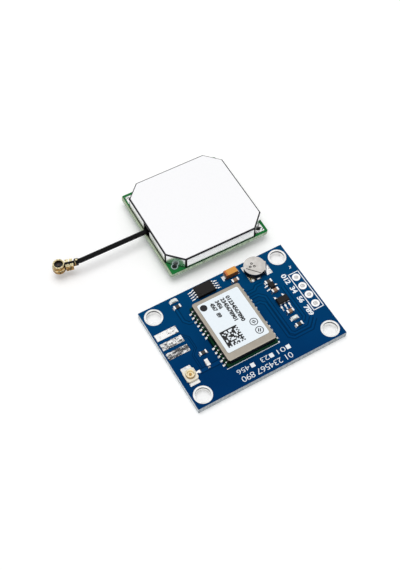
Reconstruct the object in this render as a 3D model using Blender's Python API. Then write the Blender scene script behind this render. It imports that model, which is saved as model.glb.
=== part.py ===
"""Satellite receiver board with its small active antenna, at real size.

Units are metres and +Z is up. The origin is the centre of the board's underside.
The antenna stands on the same surface behind the board's far edge, can upwards,
with its short lead and plug to the left.
"""

from math import cos, pi, radians, sin

import bmesh
import bpy
from mathutils import Matrix, Vector

# Main board
BOARD_LENGTH = 0.0360
BOARD_WIDTH = 0.0260
BOARD_THICKNESS = 0.0016

# Thin layers between pieces
SOLDER_FILM = 0.00003
GLUE_FILM = 0.00001
FIT_GAP = 0.00002

# Plated holes
PLATING_WALL = 0.00010
PLATING_LAND = 0.00005
MOUNT_BORE = 0.0033
MOUNT_LAND = 0.0041
MOUNT_INSET = 0.0025
HEADER_BORE = 0.0010
HEADER_LAND = 0.00185
HEADER_PITCH = 0.00254
HEADER_COUNT = 4
HEADER_EDGE = 0.0017
HEADER_SHIFT = 0.00015

# Tinned pads along the left edge
EDGE_PAD_LENGTH = 0.0051
EDGE_PAD_WIDTH = 0.00175
EDGE_PAD_HEIGHT = 0.00012
EDGE_PAD_CROWN = 0.00008
EDGE_PAD_PITCH = 0.00254
EDGE_PAD_COUNT = 3
EDGE_PAD_INSET = 0.00035
EDGE_PAD_SHIFT = 0.0031

# Memory chip, in its gull wing package
MEMORY_LENGTH = 0.0044
MEMORY_WIDTH = 0.0030
MEMORY_HEIGHT = 0.0010
MEMORY_SPAN = 0.0064
MEMORY_PITCH = 0.00065
MEMORY_PINS = 4
MEMORY_LEAD = 0.00026
MEMORY_EDGE_GAP = 0.00055
MEMORY_TO_MODULE = 0.0013

# Shared sizes of the moulded chips
CHIP_STANDOFF = 0.0001
CHIP_DRAFT = 0.00012
LEAD_THICKNESS = 0.00014
LEAD_FOOT = 0.00045
LEAD_BITE = 0.00025
DIMPLE_DIAMETER = 0.0005
DIMPLE_DEPTH = 0.00006
DIMPLE_INSET = 0.0006

# Receiver module
MODULE_LENGTH = 0.0160
MODULE_WIDTH = 0.0122
MODULE_THICKNESS = 0.0008
CASTELLATION_BORE = 0.0005
CASTELLATION_PITCH = 0.0011
CASTELLATION_END = 0.0010
CASTELLATIONS_FAR = 7
CASTELLATIONS_NEAR = 5
SHIELD_MARGIN_SIDE = 0.0003
SHIELD_MARGIN_END = 0.00015
SHIELD_HEIGHT = 0.00155
SHIELD_SHEET = 0.00015
SHIELD_BEND = 0.00022
SHIELD_CORNER = 0.00035
SHIELD_NOTCH = 0.0004
LABEL_MARGIN_SIDE = 0.0008
LABEL_MARGIN_FAR = 0.00095
LABEL_MARGIN_NEAR = 0.00165
LABEL_THICKNESS = 0.00008
LABEL_CORNER = 0.0004
RECEIVER_CHIP_SIDE = 0.0050
RECEIVER_CHIP_HEIGHT = 0.00085
RECEIVER_FILTER_LENGTH = 0.0014
RECEIVER_FILTER_WIDTH = 0.0011
RECEIVER_FILTER_HEIGHT = 0.0004
RECEIVER_CRYSTAL_LENGTH = 0.0025
RECEIVER_CRYSTAL_WIDTH = 0.0020
RECEIVER_CRYSTAL_HEIGHT = 0.0008
INSIDE_SPACING = 0.0011

# Tantalum capacitor
TANTALUM_LENGTH = 0.0032
TANTALUM_WIDTH = 0.0016
TANTALUM_HEIGHT = 0.0016
TANTALUM_DRAFT = 0.00006
TANTALUM_TAB_WIDTH = 0.0012
TANTALUM_TAB_SHEET = 0.00012
TANTALUM_TAB_RISE = 0.0008
TANTALUM_TAB_FOOT = 0.0007
TANTALUM_EDGE_GAP = 0.0006

# Backup cell with its welded tabs
CELL_DIAMETER = 0.0046
CELL_CAN_HEIGHT = 0.0013
CELL_FLOOR = 0.0010
CELL_RIM = 0.00014
CELL_CAP_DIAMETER = 0.0035
CELL_CAP_RISE = 0.0004
CELL_TAB_SHEET = 0.00015
CELL_TAB_DIAMETER = 0.00485
CELL_TAB_TURN = -30.0
CELL_TAB_FOLD = 0.0024
CELL_CREASE_TURN = -49.0
CELL_CREASE_LENGTH = 0.0034
CELL_CREASE_SHIFT = (0.0002, -0.00134)
CELL_CREASE_WIDTH = 0.00018
CELL_CREASE_DEPTH = 0.00007
CELL_WELD_DIAMETER = 0.0006
CELL_WELD_DEPTH = 0.00004
CELL_WELD_CIRCLE = 0.00052
CELL_WELD_SHIFT = (-0.0005, -0.00017)
CELL_TONGUE_WIDTH = 0.0024
CELL_TONGUE_REACH = 0.0031
CELL_TONGUE_FOOT = 0.0004
CELL_FORK_WIDTH = 0.00245
CELL_FORK_NOTCH = 0.0005
CELL_FORK_REACH = 0.0021
CELL_FORK_SHIFT = -0.000875
CELL_RING_GAP = 0.0018
CELL_EDGE_GAP = 0.0006

# Small parts with two end caps
PASSIVE_LENGTH = 0.0016
PASSIVE_WIDTH = 0.0008
CAP_LENGTH = 0.0003
CAP_STEP = 0.00002
RESISTOR_HEIGHT = 0.00045
CAPACITOR_HEIGHT = 0.0008
INDUCTOR_HEIGHT = 0.0008
LED_BASE_HEIGHT = 0.0003
LED_LENS_LENGTH = 0.0011
LED_LENS_WIDTH = 0.00074
LED_LENS_HEIGHT = 0.0004
LED_LENS_DRAFT = 0.0001

# Column of parts between the module and the header
COLUMN_TO_HEADER = 0.00595
COLUMN_TOP_GAP = 0.0016
COLUMN_TRANSISTOR_GAP = 0.00015
COLUMN_CAPACITOR_GAP = 0.00027
COLUMN_REGULATOR_GAP = 0.0010
COLUMN_OUTPUT_GAP = 0.00125
COLUMN_LED_GAP = 0.00095
COLUMN_END_GAP = 0.00095
ROW_GAP = 0.00075

# Regulator and transistor
REGULATOR_LENGTH = 0.0027
REGULATOR_WIDTH = 0.0016
REGULATOR_HEIGHT = 0.0011
REGULATOR_SPAN = 0.0030
REGULATOR_PITCH = 0.00095
REGULATOR_LEAD = 0.0004
TRANSISTOR_LENGTH = 0.0015
TRANSISTOR_WIDTH = 0.0013
TRANSISTOR_HEIGHT = 0.0010
TRANSISTOR_SPAN = 0.0023
TRANSISTOR_PITCH = 0.0005
TRANSISTOR_LEAD = 0.0003

# Indicator and its resistor in the far left corner, parts beside the socket
LED_EDGE_GAP = 0.0008
LED_RESISTOR_GAP = 0.00085
INDUCTOR_SHIFT = 0.0007
BIAS_RESISTOR_GAP = 0.0014
BIAS_RESISTOR_SHIFT = 0.0005

# How the free length of each row is shared out between its gaps, from left to right
FAR_ROW_SHARES = (0.302, 0.352, 0.235, 0.111)
MIDDLE_ROW_SHARES = (0.269, 0.282, 0.449)

# Coaxial socket
SOCKET_BASE_LENGTH = 0.00264
SOCKET_BASE_WIDTH = 0.00284
SOCKET_BASE_TOP = 0.0006
SOCKET_CORNER = 0.00035
SOCKET_PLATE_WIDTH = 0.0021
SOCKET_PLATE_LENGTH = 0.0046
SOCKET_SHEET = 0.00015
SOCKET_BARREL = 0.0020
SOCKET_BARREL_BORE = 0.0015
SOCKET_BARREL_HEIGHT = 0.00125
SOCKET_GROOVE = 0.00007
SOCKET_GROOVE_HEIGHT = 0.0009
SOCKET_PIN = 0.0005
SOCKET_PIN_HEIGHT = 0.0011
SOCKET_FOOT_WIDTH = 0.0004
SOCKET_FOOT_REACH = 0.00225
SOCKET_SLOT_WIDTH = 0.0008
SOCKET_SLOT_HEIGHT = 0.0004
SOCKET_EDGE_GAP = 0.00106
SOCKET_HOLE_GAP = 0.0006

# Antenna
ANTENNA_SIDE = 0.0245
ANTENNA_THICKNESS = 0.0010
ANTENNA_CORNER = 0.00035
ANTENNA_SHIFT = 0.0050
ANTENNA_TO_BOARD = 0.0039
ANTENNA_TURN = -1.1
ANTENNA_BORE = 0.0012
ANTENNA_LAND = 0.0019
ANTENNA_LAND_INSET = 0.0017
CAN_MARGIN = 0.00022
CAN_SHIFT = 0.0002
CAN_CHAMFER = 0.0034
CAN_HEIGHT = 0.0029
CAN_SHEET = 0.0002
CAN_BEND = 0.0003
CAN_SEAM = 0.00035
CAN_SLOT_WIDTH = 0.00275
CAN_SLOT_SHIFT = 0.00015
PATCH_SIDE = 0.0180
PATCH_HEIGHT = 0.0020
PATCH_CORNER = 0.0010
ELECTRODE_SIDE = 0.0140
ELECTRODE_THICKNESS = 0.00004
ELECTRODE_CORNER = 0.0012
FEED_DIAMETER = 0.0009
FEED_SHIFT = 0.0019
FEED_STAND = 0.0005
AMPLIFIER_LENGTH = 0.0020
AMPLIFIER_WIDTH = 0.00125
AMPLIFIER_HEIGHT = 0.0009
AMPLIFIER_PLACE = (-0.0045, -0.0040)
AMPLIFIER_FILTER_SIDE = 0.0030
AMPLIFIER_FILTER_HEIGHT = 0.0010
AMPLIFIER_FILTER_SPACING = 0.0030

# Lead and plug
LEAD_DIAMETER = 0.00113
LEAD_CORE = 0.0007
LEAD_STAND = 0.00015
LEAD_INSIDE = 0.0030
LEAD_SHIFT = 0.00028
LEAD_BEND = 0.0004
LEAD_BEND_STEPS = 6
PLUG_PLACE = (-0.03266, 0.00139)
PLUG_TURN = -13.5
PLUG_DIAMETER = 0.0030
PLUG_AXIS = 0.0014
PLUG_STEP_HEIGHT = 0.0011
PLUG_RING_DIAMETER = 0.0026
PLUG_WALL = 0.00036
PLUG_SHEET = 0.00015
PLUG_HEIGHT = 0.0021
PLUG_EDGE = 0.0001
PLUG_SLIT = 0.0004
PLUG_SLITS = 3
PLUG_SLIT_FLOOR = 0.0003
PLUG_SLIT_TOP = 0.0009
PLUG_MOUTH = 0.0009
PLUG_ARM_WIDTH = 0.0012
PLUG_JACKET_CRIMP = (0.0035, 0.0043)
PLUG_NECK = (0.0014, 0.0031)
PLUG_NECK_WIDTH = 0.0020
PLUG_NECK_WING = 0.0008
PLUG_NECK_CUT = 0.0002
PLUG_INSULATOR_HEIGHT = 0.0012
PLUG_CONTACT = 0.0005
PLUG_CONTACT_BORE = 0.00025
PLUG_CONTACT_TOP = 0.0016

# Facets
BIG_ROUND = 32
MOUNT_ROUND = 24
SMALL_ROUND = 16
BEND_STEPS = 3
CUT_OVERSHOOT = 0.0005

BOARD_TOP = BOARD_THICKNESS
SEAT = BOARD_TOP + SOLDER_FILM


def clear_scene():
    """Removes whatever the scene holds."""
    for obj in list(bpy.data.objects):
        bpy.data.objects.remove(obj, do_unlink=True)


def make_material(name, colour, roughness, metallic=0.0):
    """A plain Principled finish of one colour."""
    material = bpy.data.materials.new(name)
    material.use_nodes = True
    shader = material.node_tree.nodes["Principled BSDF"]
    shader.inputs["Base Color"].default_value = (*colour, 1.0)
    shader.inputs["Roughness"].default_value = roughness
    shader.inputs["Metallic"].default_value = metallic
    material.diffuse_color = (*colour, 1.0)
    return material


def make_finishes():
    """Every finish of the object, by a plain name."""
    return {
        "blue board": make_material("blue_board", (0.005, 0.045, 0.17), 0.35),
        "green board": make_material("green_board", (0.01, 0.16, 0.05), 0.4),
        "tin": make_material("tin", (0.78, 0.78, 0.77), 0.25, 1.0),
        "nickel": make_material("nickel", (0.62, 0.58, 0.52), 0.4, 1.0),
        "gold": make_material("gold", (0.85, 0.62, 0.28), 0.25, 1.0),
        "label": make_material("label", (0.86, 0.89, 0.93), 0.5),
        "black mould": make_material("black_mould", (0.02, 0.018, 0.018), 0.5),
        "ceramic black": make_material("ceramic_black", (0.03, 0.03, 0.035), 0.4),
        "ceramic tan": make_material("ceramic_tan", (0.38, 0.24, 0.15), 0.5),
        "ceramic white": make_material("ceramic_white", (0.85, 0.84, 0.8), 0.5),
        "patch ceramic": make_material("patch_ceramic", (0.62, 0.52, 0.38), 0.6),
        "orange mould": make_material("orange_mould", (0.68, 0.3, 0.05), 0.45),
        "clear lens": make_material("clear_lens", (0.9, 0.88, 0.78), 0.2),
        "ivory": make_material("ivory", (0.88, 0.83, 0.72), 0.45),
        "black rubber": make_material("black_rubber", (0.012, 0.012, 0.013), 0.45),
    }


def build(name, bm, finish, place=(0.0, 0.0, 0.0), turn=0.0, parent=None):
    """Turns a bmesh into a placed, shaded object."""
    bmesh.ops.remove_doubles(bm, verts=bm.verts, dist=1e-7)
    bmesh.ops.recalc_face_normals(bm, faces=bm.faces)
    mesh = bpy.data.meshes.new(name)
    bm.to_mesh(mesh)
    bm.free()
    if finish:
        mesh.materials.append(finish)
    mesh.shade_smooth()
    mesh.set_sharp_from_angle(angle=radians(30))
    obj = bpy.data.objects.new(name, mesh)
    bpy.context.scene.collection.objects.link(obj)
    obj.location = place
    obj.rotation_euler = (0.0, 0.0, turn)
    obj.parent = parent
    return obj


def hide(cutter):
    """Marks an object that only shapes others."""
    cutter.hide_render = True
    cutter.display_type = "WIRE"
    return cutter


def boolean(target, other, operation):
    """Adds or subtracts another object, live."""
    modifier = target.modifiers.new(operation.lower() + "_" + other.name, "BOOLEAN")
    modifier.operation = operation
    modifier.solver = "EXACT"
    modifier.object = other


def prism(outline, low, high, bm=None):
    """An outline of (x, y) points, extruded upwards."""
    bm = bm or bmesh.new()
    face = bm.faces.new([bm.verts.new((x, y, low)) for x, y in outline])
    made = bmesh.ops.extrude_face_region(bm, geom=[face])["geom"]
    verts = [item for item in made if isinstance(item, bmesh.types.BMVert)]
    bmesh.ops.translate(bm, verts=verts, vec=(0.0, 0.0, high - low))
    return bm


def strip(profile, low, high, bm=None):
    """A profile of (x, z) points, extruded along Y from low to high."""
    bm = bm or bmesh.new()
    face = bm.faces.new([bm.verts.new((x, low, z)) for x, z in profile])
    made = bmesh.ops.extrude_face_region(bm, geom=[face])["geom"]
    verts = [item for item in made if isinstance(item, bmesh.types.BMVert)]
    bmesh.ops.translate(bm, verts=verts, vec=(0.0, high - low, 0.0))
    return bm


def rectangle(length, width, centre=(0.0, 0.0)):
    """The corners of a rectangle, anticlockwise."""
    x, y = centre
    return [
        (x - length / 2, y - width / 2),
        (x + length / 2, y - width / 2),
        (x + length / 2, y + width / 2),
        (x - length / 2, y + width / 2),
    ]


def chamfered(length, width, cut):
    """A rectangle with its corners cut off at 45 degrees."""
    points = []
    for sx, sy in ((1, -1), (1, 1), (-1, 1), (-1, -1)):
        along_x = (sx * (length / 2 - cut), sy * width / 2)
        along_y = (sx * length / 2, sy * (width / 2 - cut))
        points += [along_x, along_y] if sx * sy < 0 else [along_y, along_x]
    return points


def rounded(length, width, radius, steps=4):
    """A rectangle with round corners."""
    points = []
    for index, (sx, sy) in enumerate(((1, 1), (-1, 1), (-1, -1), (1, -1))):
        for step in range(steps + 1):
            angle = (index + step / steps) * pi / 2
            x = sx * (length / 2 - radius) + radius * cos(angle)
            y = sy * (width / 2 - radius) + radius * sin(angle)
            points.append((x, y))
    return points


def arc(centre, radius, start, end, steps):
    """Points along an arc, angles in degrees."""
    points = []
    for step in range(steps + 1):
        angle = radians(start + (end - start) * step / steps)
        points.append((centre[0] + radius * cos(angle), centre[1] + radius * sin(angle)))
    return points


def lathe(profile, steps, closed=True, bm=None):
    """A profile of (radius, z) points, spun about Z."""
    bm = bm or bmesh.new()
    verts = [bm.verts.new((r, 0.0, z)) for r, z in profile]
    pairs = list(zip(verts, verts[1:]))
    if closed:
        pairs.append((verts[-1], verts[0]))
    edges = [bm.edges.new(pair) for pair in pairs]
    bmesh.ops.spin(
        bm,
        geom=verts + edges,
        cent=(0.0, 0.0, 0.0),
        axis=(0.0, 0.0, 1.0),
        angle=2 * pi,
        steps=steps,
        use_merge=True,
    )
    return bm


def loft(loops, bm=None):
    """A closed skin over loops of equally many (x, y, z) points."""
    bm = bm or bmesh.new()
    rings = [[bm.verts.new(point) for point in loop] for loop in loops]
    count = len(rings[0])
    for lower, upper in zip(rings, rings[1:]):
        for i in range(count):
            j = (i + 1) % count
            bm.faces.new((lower[i], lower[j], upper[j], upper[i]))
    bm.faces.new(reversed(rings[0]))
    bm.faces.new(rings[-1])
    return bm


def at_height(outline, z):
    """An outline lifted to a height."""
    return [(x, y, z) for x, y in outline]


def plated_profile(bore, land, thickness):
    """Section of a plated hole: a barrel with a flat land in each face."""
    barrel = bore / 2 + PLATING_WALL
    return [
        (bore / 2, 0.0),
        (land / 2, 0.0),
        (land / 2, PLATING_LAND),
        (barrel, PLATING_LAND),
        (barrel, thickness - PLATING_LAND),
        (land / 2, thickness - PLATING_LAND),
        (land / 2, thickness),
        (bore / 2, thickness),
    ]


def plated_cut_profile(bore, land, thickness):
    """Section of what a board loses to a plated hole, a little larger all round."""
    barrel = bore / 2 + PLATING_WALL + FIT_GAP
    rim = land / 2 + FIT_GAP
    recess = PLATING_LAND + FIT_GAP
    return [
        (0.0, -CUT_OVERSHOOT),
        (rim, -CUT_OVERSHOOT),
        (rim, recess),
        (barrel, recess),
        (barrel, thickness - recess),
        (rim, thickness - recess),
        (rim, thickness + CUT_OVERSHOOT),
        (0.0, thickness + CUT_OVERSHOOT),
    ]


def plated_hole(name, kind, place, thickness, finish, parent=None):
    """One tinned barrel with its lands."""
    bore, land, steps = kind
    bm = lathe(plated_profile(bore, land, thickness), steps)
    return build(name, bm, finish, place, parent=parent)


def holes_cutter(name, kinds_and_places, thickness, z, parent=None):
    """One cutter for all plated holes of a board."""
    bm = bmesh.new()
    for (bore, land, steps), (x, y) in kinds_and_places:
        before = set(bm.verts)
        lathe(plated_cut_profile(bore, land, thickness), steps, closed=False, bm=bm)
        made = [vert for vert in bm.verts if vert not in before]
        bmesh.ops.translate(bm, verts=made, vec=(x, y, 0.0))
    return hide(build(name, bm, None, (0.0, 0.0, z), parent=parent))


def open_can(name, outline, height, bend, sheet, finish, place, parent=None):
    """A drawn or folded can, open underneath, with bent upper edges."""
    bm = prism(outline, 0.0, height)
    bm.normal_update()
    bottom = [face for face in bm.faces if face.normal.z < -0.5 or face.calc_center_median().z < 1e-6]
    bmesh.ops.delete(bm, geom=bottom, context="FACES")
    rim = [edge for edge in bm.edges if all(vert.co.z > height / 2 for vert in edge.verts)]
    bmesh.ops.bevel(
        bm,
        geom=rim,
        offset=bend,
        offset_type="OFFSET",
        segments=BEND_STEPS,
        profile=0.5,
        affect="EDGES",
        material=-1,
    )
    can = build(name, bm, finish, place, parent=parent)
    wall = can.modifiers.new("sheet", "SOLIDIFY")
    wall.thickness = sheet
    wall.offset = -1.0
    wall.use_even_offset = True
    return can


def box_bm(size, centre, bm=None):
    """A plain block."""
    bm = bm or bmesh.new()
    length, width, height = size
    x, y, z = centre
    return prism(rectangle(length, width, (x, y)), z - height / 2, z + height / 2, bm)


def end_capped(name, height, finish, place, turn=0.0, length=PASSIVE_LENGTH, width=PASSIVE_WIDTH):
    """A small part whose metal end caps stand a little proud of its body."""
    def section(x, inset):
        half = width / 2 - inset
        return [(x, -half, inset), (x, half, inset), (x, half, height - inset), (x, -half, height - inset)]

    outer = length / 2
    inner = outer - CAP_LENGTH
    loops = [
        section(-outer, 0.0),
        section(-inner, 0.0),
        section(-inner, CAP_STEP),
        section(inner, CAP_STEP),
        section(inner, 0.0),
        section(outer, 0.0),
    ]
    return build(name, loft(loops), finish, place, turn)


def gull_lead(side, centre, width, body_half, span, mid, bm):
    """One bent lead, on the +X or -X side of a chip."""
    half = LEAD_THICKNESS / 2
    toe = span / 2
    heel = toe - LEAD_FOOT
    root = body_half - LEAD_BITE
    knee = (body_half + heel) / 2
    profile = [
        (root, mid + half),
        (knee, mid + half),
        (heel + half, LEAD_THICKNESS),
        (toe, LEAD_THICKNESS),
        (toe, 0.0),
        (heel - half, 0.0),
        (knee - LEAD_THICKNESS, mid - half),
        (root, mid - half),
    ]
    strip([(side * x, z) for x, z in profile], centre - width / 2, centre + width / 2, bm)


def gull_chip(name, size, span, leads, lead_width, finish, place, turn=0.0, dimple=None):
    """A moulded chip: leads is a list of (side, centre along the side)."""
    length, width, height = size
    mid = (height + CHIP_STANDOFF) / 2
    outer = (length, width)
    inner = (length - 2 * CHIP_DRAFT, width - 2 * CHIP_DRAFT)
    loops = [
        at_height(rectangle(*inner), CHIP_STANDOFF),
        at_height(rectangle(*outer), mid),
        at_height(rectangle(*inner), height),
    ]
    chip = build(name, loft(loops), finish, place, turn)
    bm = bmesh.new()
    for side, centre in leads:
        gull_lead(side, centre, lead_width, length / 2, span, mid, bm)
    boolean(chip, hide(build(name + "_leads", bm, None, place, turn)), "UNION")
    if dimple:
        mark = [(0.0, height - DIMPLE_DEPTH), (DIMPLE_DIAMETER / 2, height - DIMPLE_DEPTH)]
        mark += [(DIMPLE_DIAMETER / 2, height + CUT_OVERSHOOT), (0.0, height + CUT_OVERSHOOT)]
        bm = lathe(mark, SMALL_ROUND, closed=False)
        bmesh.ops.translate(bm, verts=bm.verts, vec=(*dimple, 0.0))
        boolean(chip, hide(build(name + "_dimple", bm, None, place, turn)), "DIFFERENCE")
    return chip


def spread(count, pitch):
    """Evenly spaced values about zero, highest first."""
    return [((count - 1) / 2 - index) * pitch for index in range(count)]


def row_centres(low, high, lengths, shares):
    """Centres of pieces in a row from low to high, the free length shared out between the gaps."""
    free = high - low - sum(lengths)
    centres = []
    for length, share in zip(lengths, shares):
        low += free * share
        centres.append(low + length / 2)
        low += length
    return centres


def board_layout():
    """Where each piece sits on the board: each place follows from its neighbours' sizes."""
    half_length = BOARD_LENGTH / 2
    half_width = BOARD_WIDTH / 2
    at = {}
    hole_x = half_length - MOUNT_INSET
    hole_y = half_width - MOUNT_INSET
    at["mounts"] = [(-hole_x, -hole_y), (hole_x, -hole_y), (hole_x, hole_y), (-hole_x, hole_y)]
    header_x = half_length - HEADER_EDGE
    at["header"] = [(header_x, HEADER_SHIFT + y) for y in spread(HEADER_COUNT, HEADER_PITCH)]
    pad_x = -half_length + EDGE_PAD_INSET + EDGE_PAD_LENGTH / 2
    at["edge pads"] = [(pad_x, EDGE_PAD_SHIFT + y) for y in spread(EDGE_PAD_COUNT, EDGE_PAD_PITCH)]

    cell_radius = CELL_TAB_DIAMETER / 2
    cell_x = hole_x - MOUNT_LAND / 2 - CELL_RING_GAP - cell_radius
    cell_y = half_width - CELL_EDGE_GAP - cell_radius
    at["cell"] = (cell_x, cell_y)
    led_x, memory_x, tantalum_x = row_centres(
        -hole_x + MOUNT_LAND / 2,
        cell_x - cell_radius,
        (PASSIVE_LENGTH, MEMORY_SPAN, TANTALUM_LENGTH),
        FAR_ROW_SHARES,
    )
    led_y = half_width - LED_EDGE_GAP - PASSIVE_WIDTH / 2
    at["led 1"] = (led_x, led_y)
    at["resistor 1"] = (led_x, led_y - PASSIVE_WIDTH - LED_RESISTOR_GAP)
    memory_y = half_width - MEMORY_EDGE_GAP - MEMORY_WIDTH / 2
    at["memory"] = (memory_x, memory_y)
    tantalum_y = half_width - TANTALUM_EDGE_GAP - TANTALUM_WIDTH / 2
    at["tantalum"] = (tantalum_x, tantalum_y)
    at["capacitor 1"] = (tantalum_x, tantalum_y - TANTALUM_WIDTH / 2 - ROW_GAP - PASSIVE_WIDTH / 2)

    column_x = header_x - COLUMN_TO_HEADER
    socket_x = -half_length + SOCKET_EDGE_GAP + SOCKET_BASE_LENGTH / 2
    socket_y = -hole_y + MOUNT_LAND / 2 + SOCKET_HOLE_GAP + SOCKET_PLATE_LENGTH / 2
    at["socket"] = (socket_x, socket_y)
    pair_length = PASSIVE_WIDTH / 2 + BIAS_RESISTOR_SHIFT + PASSIVE_LENGTH / 2
    pair_x, module_x = row_centres(
        socket_x + SOCKET_FOOT_REACH,
        min(cell_x + CELL_FORK_SHIFT - CELL_FORK_WIDTH / 2, column_x - REGULATOR_LENGTH / 2),
        (pair_length, MODULE_WIDTH),
        MIDDLE_ROW_SHARES,
    )
    module_y = memory_y - MEMORY_WIDTH / 2 - MEMORY_TO_MODULE - MODULE_LENGTH / 2
    at["module"] = (module_x, module_y)
    inductor_x = pair_x - pair_length / 2 + PASSIVE_WIDTH / 2
    inductor_y = socket_y + INDUCTOR_SHIFT
    at["inductor"] = (inductor_x, inductor_y)
    bias_y = inductor_y + PASSIVE_LENGTH / 2 + BIAS_RESISTOR_GAP + PASSIVE_WIDTH / 2
    at["resistor 2"] = (inductor_x + BIAS_RESISTOR_SHIFT, bias_y)

    y = cell_y - CELL_FORK_REACH
    for name, gap, depth in (
        ("resistor 3", COLUMN_TOP_GAP, PASSIVE_WIDTH),
        ("transistor", COLUMN_TRANSISTOR_GAP, TRANSISTOR_LENGTH),
        ("capacitor 2", COLUMN_CAPACITOR_GAP, PASSIVE_WIDTH),
        ("regulator", COLUMN_REGULATOR_GAP, REGULATOR_SPAN),
        ("capacitor 3", COLUMN_OUTPUT_GAP, PASSIVE_WIDTH),
        ("led 2", COLUMN_LED_GAP, PASSIVE_WIDTH),
        ("resistor 4", COLUMN_END_GAP, PASSIVE_WIDTH),
    ):
        at[name] = (column_x, y - gap - depth / 2)
        y -= gap + depth
    return at


def make_board(at, finishes):
    """The blue board with its plated holes and the tinned pads on its left edge."""
    mount = (MOUNT_BORE, MOUNT_LAND, MOUNT_ROUND)
    header = (HEADER_BORE, HEADER_LAND, SMALL_ROUND)
    board = build(
        "circuit_board",
        prism(rectangle(BOARD_LENGTH, BOARD_WIDTH), 0.0, BOARD_THICKNESS),
        finishes["blue board"],
    )
    places = [(mount, place) for place in at["mounts"]] + [(header, place) for place in at["header"]]
    boolean(board, holes_cutter("board_holes", places, BOARD_THICKNESS, 0.0), "DIFFERENCE")
    for index, (x, y) in enumerate(at["mounts"], 1):
        plated_hole(f"mounting_ring_{index}", mount, (x, y, 0.0), BOARD_THICKNESS, finishes["tin"])
    for index, (x, y) in enumerate(at["header"], 1):
        plated_hole(f"header_land_{index}", header, (x, y, 0.0), BOARD_THICKNESS, finishes["tin"])
    for index, (x, y) in enumerate(at["edge pads"], 1):
        foot = rectangle(EDGE_PAD_LENGTH, EDGE_PAD_WIDTH)
        crown = rectangle(EDGE_PAD_LENGTH - 2 * EDGE_PAD_CROWN, EDGE_PAD_WIDTH - 2 * EDGE_PAD_CROWN)
        loops = [
            at_height(foot, 0.0),
            at_height(foot, EDGE_PAD_HEIGHT - EDGE_PAD_CROWN),
            at_height(crown, EDGE_PAD_HEIGHT),
        ]
        build(f"edge_pad_{index}", loft(loops), finishes["tin"], (x, y, SEAT))


def castellated_outline():
    """The module board's outline, with a half hole for each of its side contacts."""
    half_width = MODULE_WIDTH / 2
    half_length = MODULE_LENGTH / 2
    radius = CASTELLATION_BORE / 2
    near = [-half_length + CASTELLATION_END + i * CASTELLATION_PITCH for i in range(CASTELLATIONS_NEAR)]
    far = [half_length - CASTELLATION_END - i * CASTELLATION_PITCH for i in range(CASTELLATIONS_FAR)]
    rows = near + far[::-1]
    points = [(-half_width, -half_length), (half_width, -half_length)]
    for y in rows:
        points += arc((half_width, y), radius, 270, 90, 6)
    points += [(half_width, half_length), (-half_width, half_length)]
    for y in reversed(rows):
        points += arc((-half_width, y), radius, 90, -90, 6)
    return points


def make_receiver(at, finishes):
    """The receiver module: castellated board, folded can, label and what is under the can."""
    x, y = at["module"]
    build(
        "receiver_board",
        prism(castellated_outline(), 0.0, MODULE_THICKNESS),
        finishes["green board"],
        (x, y, SEAT),
    )
    floor = SEAT + MODULE_THICKNESS + SOLDER_FILM
    width = MODULE_WIDTH - 2 * SHIELD_MARGIN_SIDE
    length = MODULE_LENGTH - 2 * SHIELD_MARGIN_END
    shield = open_can(
        "receiver_shield",
        chamfered(width, length, SHIELD_CORNER),
        SHIELD_HEIGHT,
        SHIELD_BEND,
        SHIELD_SHEET,
        finishes["nickel"],
        (x, y, floor),
    )
    bm = bmesh.new()
    notch_top = SHIELD_HEIGHT - SHIELD_BEND - SHIELD_SHEET
    for sx in (-1, 1):
        for sy in (-1, 1):
            size = (2 * SHIELD_NOTCH, 2 * SHIELD_NOTCH, 2 * notch_top)
            box_bm(size, (sx * width / 2, sy * length / 2, 0.0), bm)
    boolean(shield, hide(build("shield_corner_notches", bm, None, (x, y, floor))), "DIFFERENCE")

    label_x = width - 2 * LABEL_MARGIN_SIDE
    label_y = length - LABEL_MARGIN_FAR - LABEL_MARGIN_NEAR
    shift = (LABEL_MARGIN_NEAR - LABEL_MARGIN_FAR) / 2
    build(
        "receiver_label",
        prism(rounded(label_x, label_y, LABEL_CORNER), 0.0, LABEL_THICKNESS),
        finishes["label"],
        (x, y + shift, floor + SHIELD_HEIGHT + GLUE_FILM),
    )

    chip = chamfered(RECEIVER_CHIP_SIDE, RECEIVER_CHIP_SIDE, CHIP_DRAFT)
    build("receiver_chip", prism(chip, 0.0, RECEIVER_CHIP_HEIGHT), finishes["black mould"], (x, y, floor))
    crystal_y = y + RECEIVER_CHIP_SIDE / 2 + INSIDE_SPACING + RECEIVER_CRYSTAL_WIDTH / 2
    crystal = chamfered(RECEIVER_CRYSTAL_LENGTH, RECEIVER_CRYSTAL_WIDTH, CHIP_DRAFT)
    build(
        "receiver_crystal",
        prism(crystal, 0.0, RECEIVER_CRYSTAL_HEIGHT),
        finishes["nickel"],
        (x, crystal_y, floor),
    )
    filter_y = y - RECEIVER_CHIP_SIDE / 2 - INSIDE_SPACING - RECEIVER_FILTER_WIDTH / 2
    build(
        "receiver_filter",
        prism(rectangle(RECEIVER_FILTER_LENGTH, RECEIVER_FILTER_WIDTH), 0.0, RECEIVER_FILTER_HEIGHT),
        finishes["ceramic white"],
        (x, filter_y, floor),
    )


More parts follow.
